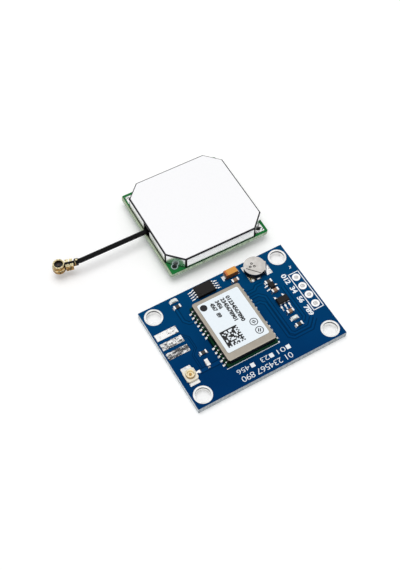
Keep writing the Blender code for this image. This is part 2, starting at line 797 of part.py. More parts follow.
def make_chips(at, finishes):
    """The moulded chips with their gull wing leads."""
    sides = [(side, y) for side in (-1, 1) for y in spread(MEMORY_PINS, MEMORY_PITCH)]
    gull_chip(
        "memory_chip",
        (MEMORY_LENGTH, MEMORY_WIDTH, MEMORY_HEIGHT),
        MEMORY_SPAN,
        sides,
        MEMORY_LEAD,
        finishes["black mould"],
        (*at["memory"], SEAT),
        dimple=(-MEMORY_LENGTH / 2 + DIMPLE_INSET, -MEMORY_WIDTH / 2 + DIMPLE_INSET),
    )
    three = [(-1, y) for y in spread(3, REGULATOR_PITCH)]
    two = [(1, y) for y in spread(2, 2 * REGULATOR_PITCH)]
    gull_chip(
        "regulator",
        (REGULATOR_WIDTH, REGULATOR_LENGTH, REGULATOR_HEIGHT),
        REGULATOR_SPAN,
        three + two,
        REGULATOR_LEAD,
        finishes["black mould"],
        (*at["regulator"], SEAT),
        turn=pi / 2,
    )
    pair = [(-1, y) for y in spread(2, 2 * TRANSISTOR_PITCH)]
    gull_chip(
        "transistor",
        (TRANSISTOR_WIDTH, TRANSISTOR_LENGTH, TRANSISTOR_HEIGHT),
        TRANSISTOR_SPAN,
        [*pair, (1, 0.0)],
        TRANSISTOR_LEAD,
        finishes["black mould"],
        (*at["transistor"], SEAT),
    )


def make_small_parts(at, finishes):
    """Resistors, capacitors, the inductor and the two indicators."""
    for index in range(1, 5):
        place = (*at[f"resistor {index}"], SEAT)
        end_capped(f"resistor_{index}", RESISTOR_HEIGHT, finishes["ceramic black"], place)
    for index in range(1, 4):
        place = (*at[f"capacitor {index}"], SEAT)
        end_capped(f"capacitor_{index}", CAPACITOR_HEIGHT, finishes["ceramic tan"], place)
    place = (*at["inductor"], SEAT)
    end_capped("inductor", INDUCTOR_HEIGHT, finishes["ceramic white"], place, turn=pi / 2)
    for index in range(1, 3):
        x, y = at[f"led {index}"]
        end_capped(f"led_{index}_base", LED_BASE_HEIGHT, finishes["ceramic white"], (x, y, SEAT))
        foot = rectangle(LED_LENS_LENGTH, LED_LENS_WIDTH)
        crown = rectangle(LED_LENS_LENGTH - 2 * LED_LENS_DRAFT, LED_LENS_WIDTH - 2 * LED_LENS_DRAFT)
        loops = [
            at_height(foot, 0.0),
            at_height(foot, LED_LENS_HEIGHT - LED_LENS_DRAFT),
            at_height(crown, LED_LENS_HEIGHT),
        ]
        lens_z = SEAT + LED_BASE_HEIGHT + FIT_GAP
        build(f"led_{index}_lens", loft(loops), finishes["clear lens"], (x, y, lens_z))


def make_tantalum(at, finishes):
    """The orange capacitor on its two folded tabs."""
    place = (*at["tantalum"], SEAT)
    low = TANTALUM_TAB_SHEET + FIT_GAP
    length = TANTALUM_LENGTH - 2 * low
    middle = (low + TANTALUM_HEIGHT) / 2
    inner = (length - 2 * TANTALUM_DRAFT, TANTALUM_WIDTH - 2 * TANTALUM_DRAFT)
    loops = [
        at_height(rectangle(*inner), low),
        at_height(rectangle(length, TANTALUM_WIDTH), middle),
        at_height(rectangle(*inner), TANTALUM_HEIGHT),
    ]
    build("tantalum_body", loft(loops), finishes["orange mould"], place)
    end = TANTALUM_LENGTH / 2
    for side, name in ((-1, "tantalum_plus_tab"), (1, "tantalum_minus_tab")):
        profile = [
            (end, 0.0),
            (end, TANTALUM_TAB_RISE),
            (end - TANTALUM_TAB_SHEET, TANTALUM_TAB_RISE),
            (end - TANTALUM_TAB_SHEET, TANTALUM_TAB_SHEET),
            (end - TANTALUM_TAB_FOOT, TANTALUM_TAB_SHEET),
            (end - TANTALUM_TAB_FOOT, 0.0),
        ]
        bm = strip([(side * x, z) for x, z in profile], -TANTALUM_TAB_WIDTH / 2, TANTALUM_TAB_WIDTH / 2)
        build(name, bm, finishes["tin"], place)


def make_cell(at, finishes):
    """The backup cell, between a forked tab underneath and a round tab on top."""
    x, y = at["cell"]
    fork = [
        (CELL_FORK_SHIFT - CELL_FORK_WIDTH / 2, CELL_DIAMETER / 4),
        (CELL_FORK_SHIFT - CELL_FORK_WIDTH / 2, -CELL_FORK_REACH),
        (CELL_FORK_SHIFT - CELL_FORK_NOTCH / 2, -CELL_FORK_REACH),
        (CELL_FORK_SHIFT - CELL_FORK_NOTCH / 2, -CELL_DIAMETER / 4),
        (CELL_FORK_SHIFT + CELL_FORK_NOTCH / 2, -CELL_DIAMETER / 4),
        (CELL_FORK_SHIFT + CELL_FORK_NOTCH / 2, -CELL_FORK_REACH),
        (CELL_FORK_SHIFT + CELL_FORK_WIDTH / 2, -CELL_FORK_REACH),
        (CELL_FORK_SHIFT + CELL_FORK_WIDTH / 2, CELL_DIAMETER / 4),
    ]
    build("cell_bottom_tab", prism(fork, 0.0, CELL_TAB_SHEET), finishes["tin"], (x, y, SEAT))

    can_z = SEAT + CELL_TAB_SHEET + FIT_GAP
    radius = CELL_DIAMETER / 2
    can = [
        (0.0, 0.0),
        (radius - CELL_RIM, 0.0),
        (radius, CELL_RIM),
        (radius, CELL_CAN_HEIGHT),
        (radius - CELL_RIM, CELL_CAN_HEIGHT),
        (radius - CELL_RIM, CELL_FLOOR),
        (0.0, CELL_FLOOR),
    ]
    build("cell_can", lathe(can, BIG_ROUND, closed=False), finishes["tin"], (x, y, can_z))
    cap_radius = CELL_CAP_DIAMETER / 2
    cap_top = CELL_CAN_HEIGHT + CELL_CAP_RISE
    gasket = [
        (cap_radius + FIT_GAP, CELL_FLOOR + FIT_GAP),
        (radius - CELL_RIM - FIT_GAP, CELL_FLOOR + FIT_GAP),
        (radius - CELL_RIM - FIT_GAP, CELL_CAN_HEIGHT + CELL_CAP_RISE / 3),
        (cap_radius + FIT_GAP, CELL_CAN_HEIGHT + CELL_CAP_RISE / 2),
    ]
    build("cell_gasket", lathe(gasket, BIG_ROUND), finishes["black rubber"], (x, y, can_z))
    cap = [
        (0.0, CELL_FLOOR + FIT_GAP),
        (cap_radius, CELL_FLOOR + FIT_GAP),
        (cap_radius, cap_top - CELL_RIM),
        (cap_radius - CELL_RIM, cap_top),
        (0.0, cap_top),
    ]
    build("cell_cap", lathe(cap, BIG_ROUND, closed=False), finishes["tin"], (x, y, can_z))

    make_top_tab((x, y, can_z + cap_top + FIT_GAP), finishes)


def make_top_tab(place, finishes):
    """The cell's round upper tab: a fold down to the board, a crease and three weld marks."""
    turn = radians(CELL_TAB_TURN)
    drop = place[2] - SEAT
    heel = CELL_TONGUE_REACH - CELL_TONGUE_FOOT
    tongue = [
        (0.0, CELL_TAB_SHEET),
        (CELL_TAB_FOLD, CELL_TAB_SHEET),
        (heel + CELL_TAB_SHEET, CELL_TAB_SHEET - drop),
        (CELL_TONGUE_REACH, CELL_TAB_SHEET - drop),
        (CELL_TONGUE_REACH, -drop),
        (heel, -drop),
        (CELL_TAB_FOLD - CELL_TAB_SHEET, 0.0),
        (0.0, 0.0),
    ]
    bm = strip(tongue, -CELL_TONGUE_WIDTH / 2, CELL_TONGUE_WIDTH / 2)
    tab = build("cell_top_tab", bm, finishes["tin"], place, turn)
    radius = CELL_TAB_DIAMETER / 2
    disc = [(x, y) for x, y in arc((0.0, 0.0), radius, 0, 360, BIG_ROUND)[:-1] if x < CELL_TAB_FOLD]
    disc = hide(build("cell_top_disc", prism(disc, 0.0, CELL_TAB_SHEET), None, place, turn))
    boolean(tab, disc, "UNION")

    surface = CELL_TAB_SHEET + CUT_OVERSHOOT
    crease = box_bm(
        (CELL_CREASE_LENGTH, CELL_CREASE_WIDTH, 2 * (CELL_CREASE_DEPTH + CUT_OVERSHOOT)),
        (*CELL_CREASE_SHIFT, surface),
    )
    crease = hide(build("cell_top_crease", crease, None, place, radians(CELL_CREASE_TURN)))
    boolean(tab, crease, "DIFFERENCE")
    marks = bmesh.new()
    floor = CELL_TAB_SHEET - CELL_WELD_DEPTH
    for index in range(3):
        angle = index * 2 * pi / 3
        before = set(marks.verts)
        mark = [(0.0, floor), (CELL_WELD_DIAMETER / 2, floor)]
        mark += [(CELL_WELD_DIAMETER / 2, surface), (0.0, surface)]
        lathe(mark, SMALL_ROUND, closed=False, bm=marks)
        made = [vert for vert in marks.verts if vert not in before]
        x = CELL_WELD_SHIFT[0] + CELL_WELD_CIRCLE * cos(angle)
        y = CELL_WELD_SHIFT[1] + CELL_WELD_CIRCLE * sin(angle)
        bmesh.ops.translate(marks, verts=made, vec=(x, y, 0.0))
    marks = hide(build("cell_weld_marks", marks, None, place, radians(CELL_CREASE_TURN)))
    boolean(tab, marks, "DIFFERENCE")


def make_socket(at, finishes):
    """The coaxial socket: ground shell, moulded base and centre pin, interlocked."""
    place = (*at["socket"], SEAT)
    bore = SOCKET_BARREL_BORE / 2
    barrel = SOCKET_BARREL / 2
    groove = SOCKET_GROOVE_HEIGHT
    profile = [
        (bore, 0.0),
        (barrel, 0.0),
        (barrel, groove - SOCKET_GROOVE),
        (barrel - SOCKET_GROOVE, groove),
        (barrel, groove + SOCKET_GROOVE),
        (barrel, SOCKET_BARREL_HEIGHT - SOCKET_GROOVE),
        (barrel - SOCKET_GROOVE, SOCKET_BARREL_HEIGHT),
        (bore + SOCKET_GROOVE, SOCKET_BARREL_HEIGHT),
        (bore, SOCKET_BARREL_HEIGHT - SOCKET_GROOVE),
    ]
    shell = build("socket_shell", lathe(profile, MOUNT_ROUND), finishes["gold"], place)
    plate = prism(rectangle(SOCKET_PLATE_WIDTH, SOCKET_PLATE_LENGTH), 0.0, SOCKET_SHEET)
    plate = hide(build("socket_plate", plate, None, place))
    middle = (bore + barrel) / 2
    opening = lathe(
        [(0.0, -CUT_OVERSHOOT), (middle, -CUT_OVERSHOOT), (middle, CUT_OVERSHOOT), (0.0, CUT_OVERSHOOT)],
        MOUNT_ROUND,
        closed=False,
    )
    boolean(plate, hide(build("socket_plate_opening", opening, None, place)), "DIFFERENCE")
    boolean(shell, plate, "UNION")
    slot = box_bm(
        (SOCKET_BASE_LENGTH, SOCKET_SLOT_WIDTH, 2 * SOCKET_SLOT_HEIGHT),
        (bore / 2 + SOCKET_BASE_LENGTH / 2, 0.0, 0.0),
    )
    boolean(shell, hide(build("socket_slot", slot, None, place)), "DIFFERENCE")

    base_low = SOCKET_SHEET + FIT_GAP
    base = build(
        "socket_base",
        prism(chamfered(SOCKET_BASE_LENGTH, SOCKET_BASE_WIDTH, SOCKET_CORNER), base_low, SOCKET_BASE_TOP),
        finishes["ivory"],
        place,
    )
    ring = [
        (bore - FIT_GAP, 0.0),
        (barrel + FIT_GAP, 0.0),
        (barrel + FIT_GAP, SOCKET_BARREL_HEIGHT),
        (bore - FIT_GAP, SOCKET_BARREL_HEIGHT),
    ]
    ring = hide(build("socket_base_ring", lathe(ring, MOUNT_ROUND), None, place))
    bridge = box_bm(
        (SOCKET_BASE_LENGTH, SOCKET_SLOT_WIDTH - 2 * FIT_GAP, 2 * (SOCKET_SLOT_HEIGHT - FIT_GAP)),
        (bore / 2 + SOCKET_BASE_LENGTH / 2, 0.0, 0.0),
    )
    boolean(ring, hide(build("socket_bridge", bridge, None, place)), "DIFFERENCE")
    boolean(base, ring, "DIFFERENCE")
    pin_radius = SOCKET_PIN / 2
    hole = lathe(
        [
            (0.0, 0.0),
            (pin_radius + FIT_GAP, 0.0),
            (pin_radius + FIT_GAP, SOCKET_BARREL_HEIGHT),
            (0.0, SOCKET_BARREL_HEIGHT),
        ],
        SMALL_ROUND,
        closed=False,
    )
    boolean(base, hide(build("socket_pin_hole", hole, None, place)), "DIFFERENCE")

    pin = [
        (0.0, 0.0),
        (pin_radius, 0.0),
        (pin_radius, SOCKET_PIN_HEIGHT - pin_radius / 2),
        (pin_radius / 2, SOCKET_PIN_HEIGHT),
        (0.0, SOCKET_PIN_HEIGHT),
    ]
    pin = build("socket_pin", lathe(pin, SMALL_ROUND, closed=False), finishes["gold"], place)
    foot = prism(
        rectangle(SOCKET_FOOT_REACH, SOCKET_FOOT_WIDTH, (SOCKET_FOOT_REACH / 2, 0.0)), 0.0, SOCKET_SHEET
    )
    boolean(pin, hide(build("socket_pin_foot", foot, None, place)), "UNION")


def make_antenna(finishes):
    """The antenna: ceramic patch, board and folded can, with the amplifier inside."""
    middle = ANTENNA_SIDE / 2
    anchor = bpy.data.objects.new("antenna_place", None)
    bpy.context.scene.collection.objects.link(anchor)
    anchor.location = (ANTENNA_SHIFT, BOARD_WIDTH / 2 + ANTENNA_TO_BOARD + middle, 0.0)
    anchor.rotation_euler = (0.0, 0.0, radians(ANTENNA_TURN))

    feed = (0.0, -FEED_SHIFT)
    patch_low = ELECTRODE_THICKNESS + GLUE_FILM
    board_low = patch_low + PATCH_HEIGHT + SOLDER_FILM
    floor = board_low + ANTENNA_THICKNESS + SOLDER_FILM
    bore = lathe(
        [
            (0.0, -CUT_OVERSHOOT),
            (FEED_DIAMETER / 2 + FIT_GAP, -CUT_OVERSHOOT),
            (FEED_DIAMETER / 2 + FIT_GAP, floor + CUT_OVERSHOOT),
            (0.0, floor + CUT_OVERSHOOT),
        ],
        SMALL_ROUND,
        closed=False,
    )
    bore = hide(build("feed_bore", bore, None, (*feed, 0.0), parent=anchor))
    electrode = build(
        "patch_electrode",
        prism(chamfered(ELECTRODE_SIDE, ELECTRODE_SIDE, ELECTRODE_CORNER), 0.0, ELECTRODE_THICKNESS),
        finishes["tin"],
        parent=anchor,
    )
    patch = build(
        "antenna_patch",
        prism(chamfered(PATCH_SIDE, PATCH_SIDE, PATCH_CORNER), 0.0, PATCH_HEIGHT),
        finishes["patch ceramic"],
        (0.0, 0.0, patch_low),
        parent=anchor,
    )
    board = build(
        "antenna_board",
        prism(chamfered(ANTENNA_SIDE, ANTENNA_SIDE, ANTENNA_CORNER), 0.0, ANTENNA_THICKNESS),
        finishes["green board"],
        (0.0, 0.0, board_low),
        parent=anchor,
    )
    for piece in (electrode, patch, board):
        boolean(piece, bore, "DIFFERENCE")
    pin = [
        (0.0, 0.0),
        (FEED_DIAMETER / 2, 0.0),
        (FEED_DIAMETER / 2, floor + FEED_STAND - FEED_DIAMETER / 4),
        (FEED_DIAMETER / 4, floor + FEED_STAND),
        (0.0, floor + FEED_STAND),
    ]
    build("feed_pin", lathe(pin, SMALL_ROUND, closed=False), finishes["tin"], (*feed, 0.0), parent=anchor)

    kind = (ANTENNA_BORE, ANTENNA_LAND, SMALL_ROUND)
    inset = middle - ANTENNA_LAND_INSET
    corners = [(-inset, -inset), (inset, -inset), (inset, inset), (-inset, inset)]
    cutter = holes_cutter(
        "antenna_holes", [(kind, place) for place in corners], ANTENNA_THICKNESS, board_low, anchor
    )
    boolean(board, cutter, "DIFFERENCE")
    for index, (x, y) in enumerate(corners, 1):
        plated_hole(
            f"antenna_land_{index}", kind, (x, y, board_low), ANTENNA_THICKNESS, finishes["tin"], anchor
        )

    make_can(floor, anchor, finishes)
    chip_x, chip_y = AMPLIFIER_PLACE
    build(
        "amplifier_chip",
        prism(chamfered(AMPLIFIER_LENGTH, AMPLIFIER_WIDTH, CHIP_DRAFT), 0.0, AMPLIFIER_HEIGHT),
        finishes["black mould"],
        (chip_x, chip_y, floor),
        parent=anchor,
    )
    filter_x = chip_x + AMPLIFIER_LENGTH / 2 + AMPLIFIER_FILTER_SPACING + AMPLIFIER_FILTER_SIDE / 2
    build(
        "amplifier_filter",
        prism(
            chamfered(AMPLIFIER_FILTER_SIDE, AMPLIFIER_FILTER_SIDE, CHIP_DRAFT), 0.0, AMPLIFIER_FILTER_HEIGHT
        ),
        finishes["nickel"],
        (filter_x, chip_y, floor),
        parent=anchor,
    )
    return anchor, floor


def make_can(floor, anchor, finishes):
    """The antenna's eight sided can, with open corner seams and the lead's slot."""
    side = ANTENNA_SIDE - 2 * CAN_MARGIN
    place = (CAN_SHIFT, 0.0, floor)
    can = open_can(
        "antenna_shield",
        chamfered(side, side, CAN_CHAMFER),
        CAN_HEIGHT,
        CAN_BEND,
        CAN_SHEET,
        finishes["tin"],
        place,
        anchor,
    )
    top = CAN_HEIGHT - CAN_BEND
    seams = bmesh.new()
    for index, (x, y) in enumerate(chamfered(side, side, CAN_CHAMFER)):
        before = set(seams.verts)
        box_bm((4 * CAN_SHEET, CAN_SEAM, 2 * top), (0.0, 0.0, 0.0), seams)
        made = [vert for vert in seams.verts if vert not in before]
        outward = Matrix.Rotation(radians(index * 45 - 67.5), 4, "Z")
        bmesh.ops.transform(seams, matrix=Matrix.Translation((x, y, 0.0)) @ outward, verts=made)
    boolean(can, hide(build("can_seams", seams, None, place, parent=anchor)), "DIFFERENCE")
    slot = box_bm((6 * CAN_SHEET, CAN_SLOT_WIDTH, 2 * top), (-side / 2, CAN_SLOT_SHIFT, 0.0))
    boolean(can, hide(build("can_slot", slot, None, place, parent=anchor)), "DIFFERENCE")


def make_lead(anchor, floor, finishes):
    """The coaxial lead, from its joint inside the can through the slot into the plug's crimps."""
    wall_x = CAN_SHIFT + CAN_MARGIN - ANTENNA_SIDE / 2
    height = floor + LEAD_STAND + LEAD_DIAMETER / 2
    turn = radians(PLUG_TURN)
    head = Vector((*PLUG_PLACE, height))
    along = Vector((cos(turn), sin(turn), 0.0))
    jacket_end = head + along * (PLUG_JACKET_CRIMP[0] - PLUG_SHEET)
    core_end = head + along * (PLUG_RING_DIAMETER / 2 - PLUG_WALL)
    corner = head + along * ((LEAD_SHIFT - head.y) / along.y)
    bend_start = corner + Vector((LEAD_BEND, 0.0, 0.0))
    bend_end = corner - along * LEAD_BEND
    route = [Vector((wall_x + LEAD_INSIDE, LEAD_SHIFT, height))]
    for step in range(LEAD_BEND_STEPS + 1):
        share = step / LEAD_BEND_STEPS
        route.append(bend_start.lerp(corner, share).lerp(corner.lerp(bend_end, share), share))
    curve = bpy.data.curves.new("antenna_lead", "CURVE")
    curve.dimensions = "3D"
    curve.bevel_depth = LEAD_DIAMETER / 2
    curve.bevel_resolution = 4
    curve.use_fill_caps = True
    spline = curve.splines.new("POLY")
    core = LEAD_CORE / LEAD_DIAMETER
    stepped = [(point, 1.0) for point in [*route, jacket_end]]
    stepped += [(jacket_end - along * FIT_GAP, core), (core_end, core)]
    spline.points.add(len(stepped) - 1)
    for target, (point, thickness) in zip(spline.points, stepped):
        target.co = (*point, 1.0)
        target.radius = thickness
    curve.materials.append(finishes["black rubber"])
    lead = bpy.data.objects.new("antenna_lead", curve)
    bpy.context.scene.collection.objects.link(lead)
    lead.parent = anchor
    return (*PLUG_PLACE, height - PLUG_AXIS)


def along_plug(profile, closed=True):
    """A profile of (radius, distance) points, spun about the lead's axis in the plug."""
    bm = lathe(profile, SMALL_ROUND, closed)
    tip = Matrix.Translation((0.0, 0.0, PLUG_AXIS)) @ Matrix.Rotation(pi / 2, 4, "Y")
    bmesh.ops.transform(bm, matrix=tip, verts=bm.verts)
    return bm


def make_plug(anchor, place, finishes):
    """The plug, open face up: shell with slits, neck and crimp, insulator and contact."""
    turn = radians(PLUG_TURN)
    foot = PLUG_DIAMETER / 2
    radius = PLUG_RING_DIAMETER / 2
    inner = radius - PLUG_WALL
    cup = [
        (0.0, 0.0),
        (foot - PLUG_EDGE, 0.0),
        (foot, PLUG_EDGE),
        (foot, PLUG_STEP_HEIGHT - PLUG_EDGE),
        (foot - PLUG_EDGE, PLUG_STEP_HEIGHT),
        (radius, PLUG_STEP_HEIGHT),
        (radius, PLUG_HEIGHT - PLUG_EDGE),
        (radius - PLUG_EDGE, PLUG_HEIGHT),
        (inner + PLUG_EDGE, PLUG_HEIGHT),
        (inner, PLUG_HEIGHT - PLUG_EDGE),
        (inner, PLUG_SHEET),
        (0.0, PLUG_SHEET),
    ]
    cup = lathe(cup, BIG_ROUND, closed=False)
    shell = build("plug_shell", cup, finishes["gold"], place, turn, anchor)

    cuts = bmesh.new()
    reach = foot - inner
    middle = (foot + inner) / 2
    box_bm((2 * reach, PLUG_MOUTH, PLUG_MOUTH), (middle, 0.0, PLUG_AXIS), cuts)
    slit_tall = PLUG_SLIT_TOP - PLUG_SLIT_FLOOR
    for index in range(PLUG_SLITS):
        angle = radians(90 + index * 90)
        before = set(cuts.verts)
        box_bm((2 * reach, PLUG_SLIT, slit_tall), (middle, 0.0, PLUG_SLIT_FLOOR + slit_tall / 2), cuts)
        made = [vert for vert in cuts.verts if vert not in before]
        bmesh.ops.rotate(cuts, verts=made, cent=(0.0, 0.0, 0.0), matrix=Matrix.Rotation(angle, 3, "Z"))
    boolean(shell, hide(build("plug_slits", cuts, None, place, turn, anchor)), "DIFFERENCE")

    boolean(shell, make_neck(anchor, place, turn), "UNION")
    start, end = PLUG_JACKET_CRIMP
    jacket = LEAD_DIAMETER / 2 + FIT_GAP
    arm_start = PLUG_NECK[1] - PLUG_SHEET
    arm = prism(
        rectangle(end - arm_start, PLUG_ARM_WIDTH, ((arm_start + end) / 2, 0.0)),
        PLUG_AXIS - jacket - PLUG_SHEET,
        PLUG_AXIS - jacket,
    )
    boolean(shell, hide(build("plug_arm", arm, None, place, turn, anchor)), "UNION")
    sleeve = [(jacket, start), (jacket + PLUG_SHEET, start), (jacket + PLUG_SHEET, end), (jacket, end)]
    boolean(shell, hide(build("plug_crimp", along_plug(sleeve), None, place, turn, anchor)), "UNION")

    x, y, z = place
    insulator_low = PLUG_SHEET + FIT_GAP
    ring = [
        (PLUG_CONTACT / 2 + FIT_GAP, insulator_low),
        (inner - FIT_GAP, insulator_low),
        (inner - FIT_GAP, insulator_low + PLUG_INSULATOR_HEIGHT - CAP_STEP),
        (inner - FIT_GAP - CAP_STEP, insulator_low + PLUG_INSULATOR_HEIGHT),
        (PLUG_CONTACT / 2 + FIT_GAP, insulator_low + PLUG_INSULATOR_HEIGHT),
    ]
    build("plug_insulator", lathe(ring, MOUNT_ROUND), finishes["black mould"], (x, y, z), turn, anchor)
    contact = [
        (0.0, insulator_low),
        (PLUG_CONTACT / 2, insulator_low),
        (PLUG_CONTACT / 2, PLUG_CONTACT_TOP),
        (PLUG_CONTACT_BORE / 2, PLUG_CONTACT_TOP),
        (PLUG_CONTACT_BORE / 2, insulator_low + PLUG_SHEET),
        (0.0, insulator_low + PLUG_SHEET),
    ]
    contact = lathe(contact, SMALL_ROUND, closed=False)
    build("plug_contact", contact, finishes["gold"], (x, y, z), turn, anchor)


def make_neck(anchor, place, turn):
    """The plug's neck: two pairs of wings folded against the lead's core, which shows between them."""
    start, end = PLUG_NECK
    core = LEAD_CORE / 2 + FIT_GAP
    top = PLUG_AXIS + core / 2
    centre = (start + end) / 2
    block = box_bm((end - start, PLUG_NECK_WIDTH, top), (centre, 0.0, top / 2))
    neck = hide(build("plug_neck", block, None, place, turn, anchor))
    bore = along_plug(
        [(0.0, 0.0), (core, 0.0), (core, end + CUT_OVERSHOOT), (0.0, end + CUT_OVERSHOOT)], closed=False
    )
    boolean(neck, hide(build("plug_neck_bore", bore, None, place, turn, anchor)), "DIFFERENCE")
    wings = box_bm(
        (PLUG_NECK_CUT, 2 * PLUG_NECK_WIDTH, 2 * top), (end - PLUG_NECK_WING, 0.0, PLUG_SHEET + top)
    )
    boolean(neck, hide(build("plug_neck_gap", wings, None, place, turn, anchor)), "DIFFERENCE")
    return neck


def main():
    """Builds the whole object."""
    clear_scene()
    finishes = make_finishes()
    at = board_layout()
    make_board(at, finishes)
    make_receiver(at, finishes)
    make_chips(at, finishes)
    make_small_parts(at, finishes)
    make_tantalum(at, finishes)
    make_cell(at, finishes)
    make_socket(at, finishes)
    anchor, floor = make_antenna(finishes)
    plug_place = make_lead(anchor, floor, finishes)
    make_plug(anchor, plug_place, finishes)


main()
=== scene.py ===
"""Dresses the satellite receiver board and its antenna: finishes, tracks, print, solder and stage."""

import random
from math import pi, radians

import bmesh
import bpy
from bpy.props import FloatProperty, FloatVectorProperty, IntProperty, PointerProperty
from mathutils import Euler, Matrix, Vector


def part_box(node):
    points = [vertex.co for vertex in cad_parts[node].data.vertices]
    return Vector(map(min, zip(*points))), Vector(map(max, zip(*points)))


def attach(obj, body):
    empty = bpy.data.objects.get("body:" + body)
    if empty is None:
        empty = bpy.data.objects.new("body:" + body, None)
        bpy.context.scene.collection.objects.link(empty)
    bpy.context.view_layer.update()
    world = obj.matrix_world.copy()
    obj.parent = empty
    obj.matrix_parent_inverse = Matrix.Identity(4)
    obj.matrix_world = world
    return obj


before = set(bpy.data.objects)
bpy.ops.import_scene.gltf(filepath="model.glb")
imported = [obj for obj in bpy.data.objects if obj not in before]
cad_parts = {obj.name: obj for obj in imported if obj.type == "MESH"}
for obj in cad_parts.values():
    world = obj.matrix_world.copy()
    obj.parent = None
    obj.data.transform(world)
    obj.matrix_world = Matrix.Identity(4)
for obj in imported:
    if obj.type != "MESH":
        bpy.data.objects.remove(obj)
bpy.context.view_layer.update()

bl_info = {
    "name": "Receiver Board",
    "version": (1, 0, 0),
    "blender": (4, 5, 0),
    "location": "View3D > Sidebar > Receiver",
    "description": "Finishes, tracks, print and solder of a satellite receiver board and its antenna",
    "category": "Object",
}

MM = 0.001
BOARD_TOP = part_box("circuit_board")[1][2]

# The antenna's can, in millimetres: its turn, half its width and the leg of its cut corners
CAN_TURN = radians(-1.1)
CAN_HALF = 12.03
CAN_LEG = 3.4

# Half the width of the antenna's board and how far its corner holes stand from its middle, in millimetres
ANTENNA_HALF = 12.25
ANTENNA_HOLE = 10.55

# Edges of a piece sharper than this stay sharp
SMOOTH = radians(40.0)

WHITE = (1.0, 1.0, 1.0)
UP = Vector((0.0, 0.0, 1.0))


# Sizes and colours


def colour(label, note, value):
    """A colour in the sidebar."""
    return FloatVectorProperty(
        name=label, description=note, default=value, subtype="COLOR", size=3, min=0.0, max=1.0
    )


def length(label, note, value):
    """A length in metres in the sidebar."""
    return FloatProperty(name=label, description=note, default=value, min=0.0, unit="LENGTH", precision=5)


def number(label, note, value):
    """A plain number in the sidebar."""
    return FloatProperty(name=label, description=note, default=value, min=0.0)


class BoardColours(bpy.types.PropertyGroup):
    """Colours of the boards and of what is printed on them."""

    mask: colour("Mask", "Blue solder mask at the front edge", (0.0, 0.031, 0.122))
    # Painted light: a lighter mask behind, for the light falling across the board.
    mask_lit_behind: colour("Mask Behind", "Blue solder mask at the back edge", (0.0, 0.058, 0.165))
    track_tone: number("Track Tone", "Mask over a track, against plain mask", 1.14)
    gap_tone: number("Gap Tone", "Mask in a gap, against plain mask", 0.58)
    glass_epoxy: colour("Cut Edge", "Cut edge of the blue board", (0.76, 0.82, 0.86))
    module_green: colour("Module Green", "Mask of the receiver's own board", (0.008, 0.05, 0.024))
    antenna_green: colour("Antenna Green", "Mask of the antenna board", (0.012, 0.155, 0.036))
    ink: colour("Board Print", "White print", (0.93, 0.97, 1.0))


class MetalColours(bpy.types.PropertyGroup):
    """Colours of the bare metals."""

    tin: colour("Tin", "Tinned pads, rings and solder", (0.93, 0.93, 0.92))
    antenna_top: colour("Antenna Can", "Top of the antenna's can", (0.975, 0.975, 0.99))
    nickel: colour("Receiver Can", "Satin metal of the receiver's can", (0.42, 0.38, 0.32))
    gold: colour("Gold", "Plug and socket", (0.97, 0.85, 0.52))


class PartColours(bpy.types.PropertyGroup):
    """Colours of the moulded and fired parts."""

    mould: colour("Chip Mould", "Black moulding compound", (0.009, 0.0078, 0.0078))
    tantalum: colour("Tantalum Mould", "Top of the orange capacitor", (0.69, 0.31, 0.055))
    # Painted shade: the darker colour of the capacitor's sides.
    tantalum_shaded_side: colour("Tantalum Side", "Sides of the orange capacitor", (0.2, 0.07, 0.012))
    tan_ceramic: colour("Capacitor Ceramic", "Fired tan ceramic", (0.26, 0.15, 0.09))
    ivory: colour("Ivory", "Moulded base of the socket", (0.88, 0.82, 0.69))
    label: colour("Label", "White label on the receiver's can", (0.86, 0.93, 0.99))
    label_ink: colour("Label Print", "Print on the label", (0.01, 0.01, 0.012))
    sheath: colour("Lead Sheath", "Black sheath of the antenna's lead", (0.003, 0.003, 0.0035))


class TrackSizes(bpy.types.PropertyGroup):
    """Sizes of the tracks that show through the mask."""

    signal: length("Signal", "Width of a signal track", 0.00025)
    supply: length("Supply", "Width of a supply track", 0.0006)
    feed: length("Feed", "Width of the track from the socket", 0.00092)
    gap: length("Gap", "Clear strip beside a track", 0.00019)
    height: length("Height", "How far a track stands up under the mask", 0.00003)


class PrintSizes(bpy.types.PropertyGroup):
    """Sizes of the print."""

    line: length("Line", "Width of a printed line", 0.0002)
    thickness: length("Thickness", "Thickness of the ink", 0.00002)
    cells: IntProperty(
        name="Cells", description="Cells on a side of the square mark", default=13, min=8, max=24
    )


class SolderSizes(bpy.types.PropertyGroup):
    """Sizes of the solder joints."""

    side_reach: length("Side Reach", "How far the receiver's side joints reach out", 0.0006)
    side_width: length("Side Width", "Width of the receiver's side joints", 0.00055)
    chip_reach: length("Part Reach", "How far the small parts' joints reach out", 0.00024)
    land: length("Land", "Thickness of a flat tinned land", 0.00004)


class StageSettings(bpy.types.PropertyGroup):
    """Floor, light and camera."""

    floor_side: length("Floor", "Side of the square floor", 3.0)
    sky: number("Sky", "Strength of the even light", 0.55)
    lamp: FloatProperty(name="Lamp", description="Power of the lamp", default=1.75, min=0.0, unit="POWER")
    lens: number("Lens", "Focal length in millimetres", 62.92)


# Pieces


def extent(node):
    """Lowest corner, highest corner and centre of a node's box, as vectors."""
    low, high = (Vector(corner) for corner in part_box(node))
    return low, high, (low + high) / 2


def numbered(name, count):
    """Names of like nodes, such as resistor_1 and resistor_2."""
    return [f"{name}_{index}" for index in range(1, count + 1)]


def spot(x, y, z):
    """A point from X and Y in millimetres and a height in metres."""
    return Vector((x * MM, y * MM, z))


def add_object(name, data):
    """A new object in the scene."""
    made = bpy.data.objects.new(name, data)
    bpy.context.scene.collection.objects.link(made)
    return made


